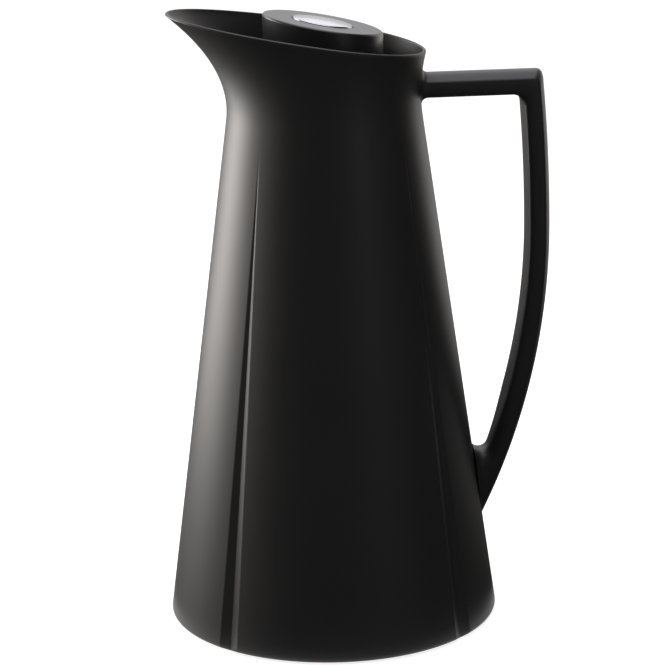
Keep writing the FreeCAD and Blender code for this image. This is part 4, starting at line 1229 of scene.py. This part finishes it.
KEPT_FINISHES = {
    inner_plastic: ("pour_collar", "stopper_body", "base_plate", "button_plunger"),
    white_plastic: ("stem_bush", "valve_disc"),
    drawn_steel: ("valve_stem", "valve_nut", "handle_screws", "base_screws"),
    seal_rubber: ("valve_gasket", "stopper_seal", "neck_seal", "collar_gasket"),
    foot_rubber: ("liner_cushion",),
    silvered_glass: ("liner_inner_flask", "liner_outer_flask"),
    felt: ("liner_spacers",),
}


class JUG_OT_inner_parts(bpy.types.Operator):
    """Give every packed piece that stays its own finish"""

    bl_idname = "jug.inner_parts"
    bl_label = "Inner parts"

    def execute(self, context):
        for make, names in KEPT_FINISHES.items():
            for name in names:
                node = frame["nodes"][name]
                node.data.materials.clear()
                node.data.materials.append(finish_of(context, make))
        return {"FINISHED"}


# Stage

WARM = (1.0, 0.945, 0.90)
NEUTRAL = (1.0, 1.0, 1.0)
COOL = (0.94, 0.94, 1.0)
LIGHT_AIM = Vector((0.0, 0.0, 0.16))
FLOOR_TONE = 0.45
FLOOR_GLOW = 0.78
FLOOR_PATH = ((0.0005, 0.0), (4.0, 0.0))
FLAG_PATH = ((0.09, 0.0004), (1.9, 0.0004))
CARD_PATH = ((0.6, 0.0008), (1.1, 0.0008))
FRONT_PATH = ((2.0, 0.0), (2.0, 1.2), (1.2, 2.0))
SWEEP_STEPS = 48
SENSOR_WIDTH = 36.0
PANELS = (
    ("key", (-0.93, 0.55, 0.19), (0.66, 1.0), WARM),
    ("left", (-1.20, -0.20, 0.35), (0.60, 0.9), WARM),
    ("side", (0.74, 0.67, 0.30), (0.60, 0.9), WARM),
    ("back", (-0.10, 1.10, 0.95), (1.40, 0.7), COOL),
    ("front", (0.80, -1.15, 0.52), (0.50, 0.7), NEUTRAL),
    ("top", (0.00, 0.15, 1.30), (1.00, 0.9), COOL),
)


def light_panel(context, name, place, size_m, radiance, tint):
    """Soft rectangular lamp that faces the jug and that the camera doesn't see."""
    width, height = size_m
    lamp = bpy.data.lights.new(name, "AREA")
    lamp.color = tint
    lamp.shape = "RECTANGLE"
    lamp.size = width
    lamp.size_y = height
    lamp.energy = radiance * math.pi * width * height
    panel = bpy.data.objects.new(name, lamp)
    panel.location = place
    panel.rotation_euler = (LIGHT_AIM - panel.location).to_track_quat("-Z", "Y").to_euler()
    panel.visible_camera = False
    context.scene.collection.objects.link(panel)


def ray_kinds(tree):
    """Fields that are 1 for the eye's rays, through glass too, and for mirror rays."""
    path = tree.nodes.new("ShaderNodeLightPath")
    camera, glossy, glass = (
        Field(tree, path.outputs[f"Is {kind} Ray"]) for kind in ("Camera", "Glossy", "Transmission")
    )
    return camera + glass, glossy


def white_world(context, mirror, fill):
    """White to the eye, a little darker in reflections, and a plain fill light."""
    world = bpy.data.worlds.new("studio")
    context.scene.world = world
    world.use_nodes = True
    tree = world.node_tree
    background = next(node for node in tree.nodes if node.type == "BACKGROUND")
    background.inputs["Color"].default_value = (*NEUTRAL, 1.0)
    seen, glossy = ray_kinds(tree)
    brightness = glossy * (mirror - fill) + seen.clamp() * (1.0 - fill) + fill
    tree.links.new(brightness.socket, background.inputs["Strength"])


def stage_material(name):
    """Material with nothing in it but its output."""
    material = bpy.data.materials.new(name)
    material.use_nodes = True
    tree = material.node_tree
    tree.nodes.clear()
    return material, tree, tree.nodes.new("ShaderNodeOutputMaterial").inputs["Surface"]


def floor_material():
    """Pale floor that shows white to the eye, keeps a soft shadow and is clear from below."""
    material, tree, surface = stage_material("studio_floor")
    matte = tree.nodes.new("ShaderNodeBsdfDiffuse")
    matte.inputs["Color"].default_value = (FLOOR_TONE, FLOOR_TONE, FLOOR_TONE, 1.0)
    glow = tree.nodes.new("ShaderNodeEmission")
    seen, glossy = ray_kinds(tree)
    tree.links.new(((seen + glossy).clamp() * FLOOR_GLOW).socket, glow.inputs["Strength"])
    both = tree.nodes.new("ShaderNodeAddShader")
    tree.links.new(matte.outputs[0], both.inputs[0])
    tree.links.new(glow.outputs[0], both.inputs[1])
    clear = tree.nodes.new("ShaderNodeBsdfTransparent")
    side = tree.nodes.new("ShaderNodeNewGeometry")
    mix = tree.nodes.new("ShaderNodeMixShader")
    tree.links.new(side.outputs["Backfacing"], mix.inputs[0])
    tree.links.new(both.outputs[0], mix.inputs[1])
    tree.links.new(clear.outputs[0], mix.inputs[2])
    tree.links.new(mix.outputs[0], surface)
    return material


def card_material(name, brightness):
    """Studio card of an even brightness; black cloth has none."""
    material, tree, surface = stage_material(name)
    glow = tree.nodes.new("ShaderNodeEmission")
    glow.inputs["Strength"].default_value = brightness
    tree.links.new(glow.outputs[0], surface)
    return material


def ring_sheet(context, name, path, start, end, material):
    """Sheet swept round Z along a path of (radius, height), between two headings in degrees."""
    points = []
    for step in range(SWEEP_STEPS + 1):
        heading = math.radians(between(start, end, step / SWEEP_STEPS))
        cosine, sine = math.cos(heading), math.sin(heading)
        points += [(radius * cosine, radius * sine, height) for radius, height in path]
    count = len(path)
    faces = []
    for step in range(SWEEP_STEPS):
        for index in range(count - 1):
            corner = step * count + index
            faces.append((corner, corner + count, corner + count + 1, corner + 1))
    mesh = bpy.data.meshes.new(name)
    mesh.from_pydata(points, [], faces)
    mesh.materials.append(material)
    sheet = new_piece(context, name, mesh)
    return sheet


def reflection_flag(context, name, path, start, end, material):
    """Card or flag that only reflections see."""
    flag = ring_sheet(context, name, path, start, end, material)
    flag.visible_camera = False
    flag.visible_diffuse = False
    flag.visible_shadow = False
    flag.visible_transmission = False


def aim_camera(context, stage):
    """Camera at the photograph's view, with its small roll."""
    a, e = stage.azimuth, stage.elevation
    back = Vector((math.sin(a) * math.cos(e), -math.cos(a) * math.cos(e), math.sin(e)))
    right = Vector((0, 0, 1)).cross(back).normalized()
    up = back.cross(right)
    across = right * math.cos(stage.roll) + up * math.sin(stage.roll)
    rise = up * math.cos(stage.roll) - right * math.sin(stage.roll)
    camera = bpy.data.objects.new("camera", bpy.data.cameras.new("camera"))
    camera.data.sensor_width = SENSOR_WIDTH
    camera.data.lens = stage.lens
    place = Vector((stage.target_x, 0.0, stage.target_z)) + back * stage.distance
    turned = Matrix((across, rise, back)).transposed().to_4x4()
    camera.matrix_world = Matrix.Translation(place) @ turned
    context.scene.collection.objects.link(camera)
    context.scene.camera = camera


class JUG_OT_stage(bpy.types.Operator):
    """Set the floor, the flags and cards, the light panels and the camera"""

    bl_idname = "jug.stage"
    bl_label = "Stage"

    def execute(self, context):
        stage = context.scene.jug_stage
        context.scene.view_settings.view_transform = "Standard"
        white_world(context, stage.mirror, stage.fill)
        ring_sheet(context, "floor", FLOOR_PATH, 360, 0, floor_material())
        cloth = card_material("black_cloth", 0.0)
        for name, path, start, end, material in (
            ("floor_flag", FLAG_PATH, -190, 20, cloth),
            ("floor_card", FLAG_PATH, 20, 170, card_material("grey_card", stage.card)),
            ("left_card", CARD_PATH, 125, 170, card_material("left_card", stage.bright)),
            ("right_card", CARD_PATH, 20, 75, card_material("right_card", stage.soft)),
            ("front_flag", FRONT_PATH, -200, 62, cloth),
        ):
            reflection_flag(context, name, path, start, end, material)
        for name, place, size_m, tint in PANELS:
            light_panel(context, f"{name}_panel", place, size_m, getattr(stage, name), tint)
        aim_camera(context, stage)
        return {"FINISHED"}


class JUG_PT_panel(bpy.types.Panel):
    """Steps that dress the jug"""

    bl_idname = "JUG_PT_panel"
    bl_label = "Thermal jug"
    bl_space_type = "VIEW_3D"
    bl_region_type = "UI"
    bl_category = "Jug"

    def draw(self, context):
        for step in STEPS:
            self.layout.operator(step.bl_idname)
        for group, name in GROUPS.items():
            box = self.layout.box()
            box.label(text=group.__doc__)
            for label in group.__annotations__:
                box.prop(getattr(context.scene, name), label)


STEPS = (
    JUG_OT_casing, JUG_OT_handle, JUG_OT_lid, JUG_OT_button, JUG_OT_spring, JUG_OT_foot_pad,
    JUG_OT_inner_parts, JUG_OT_stage,
)
GROUPS = {
    JugCasingSizes: "jug_casing",
    JugHandleSizes: "jug_handle",
    JugStopperSizes: "jug_stopper",
    JugFinish: "jug_finish",
    JugStage: "jug_stage",
}


def register():
    for item in (*GROUPS, *STEPS, JUG_PT_panel):
        bpy.utils.register_class(item)
    for group, name in GROUPS.items():
        setattr(bpy.types.Scene, name, PointerProperty(type=group))


def unregister():
    for name in GROUPS.values():
        delattr(bpy.types.Scene, name)
    for item in reversed((*GROUPS, *STEPS, JUG_PT_panel)):
        bpy.utils.unregister_class(item)


def main():
    register()
    for step in (
        bpy.ops.jug.casing, bpy.ops.jug.handle, bpy.ops.jug.lid, bpy.ops.jug.button,
        bpy.ops.jug.spring, bpy.ops.jug.foot_pad, bpy.ops.jug.inner_parts, bpy.ops.jug.stage,
    ):
        step()


if __name__ == "__main__":
    main()
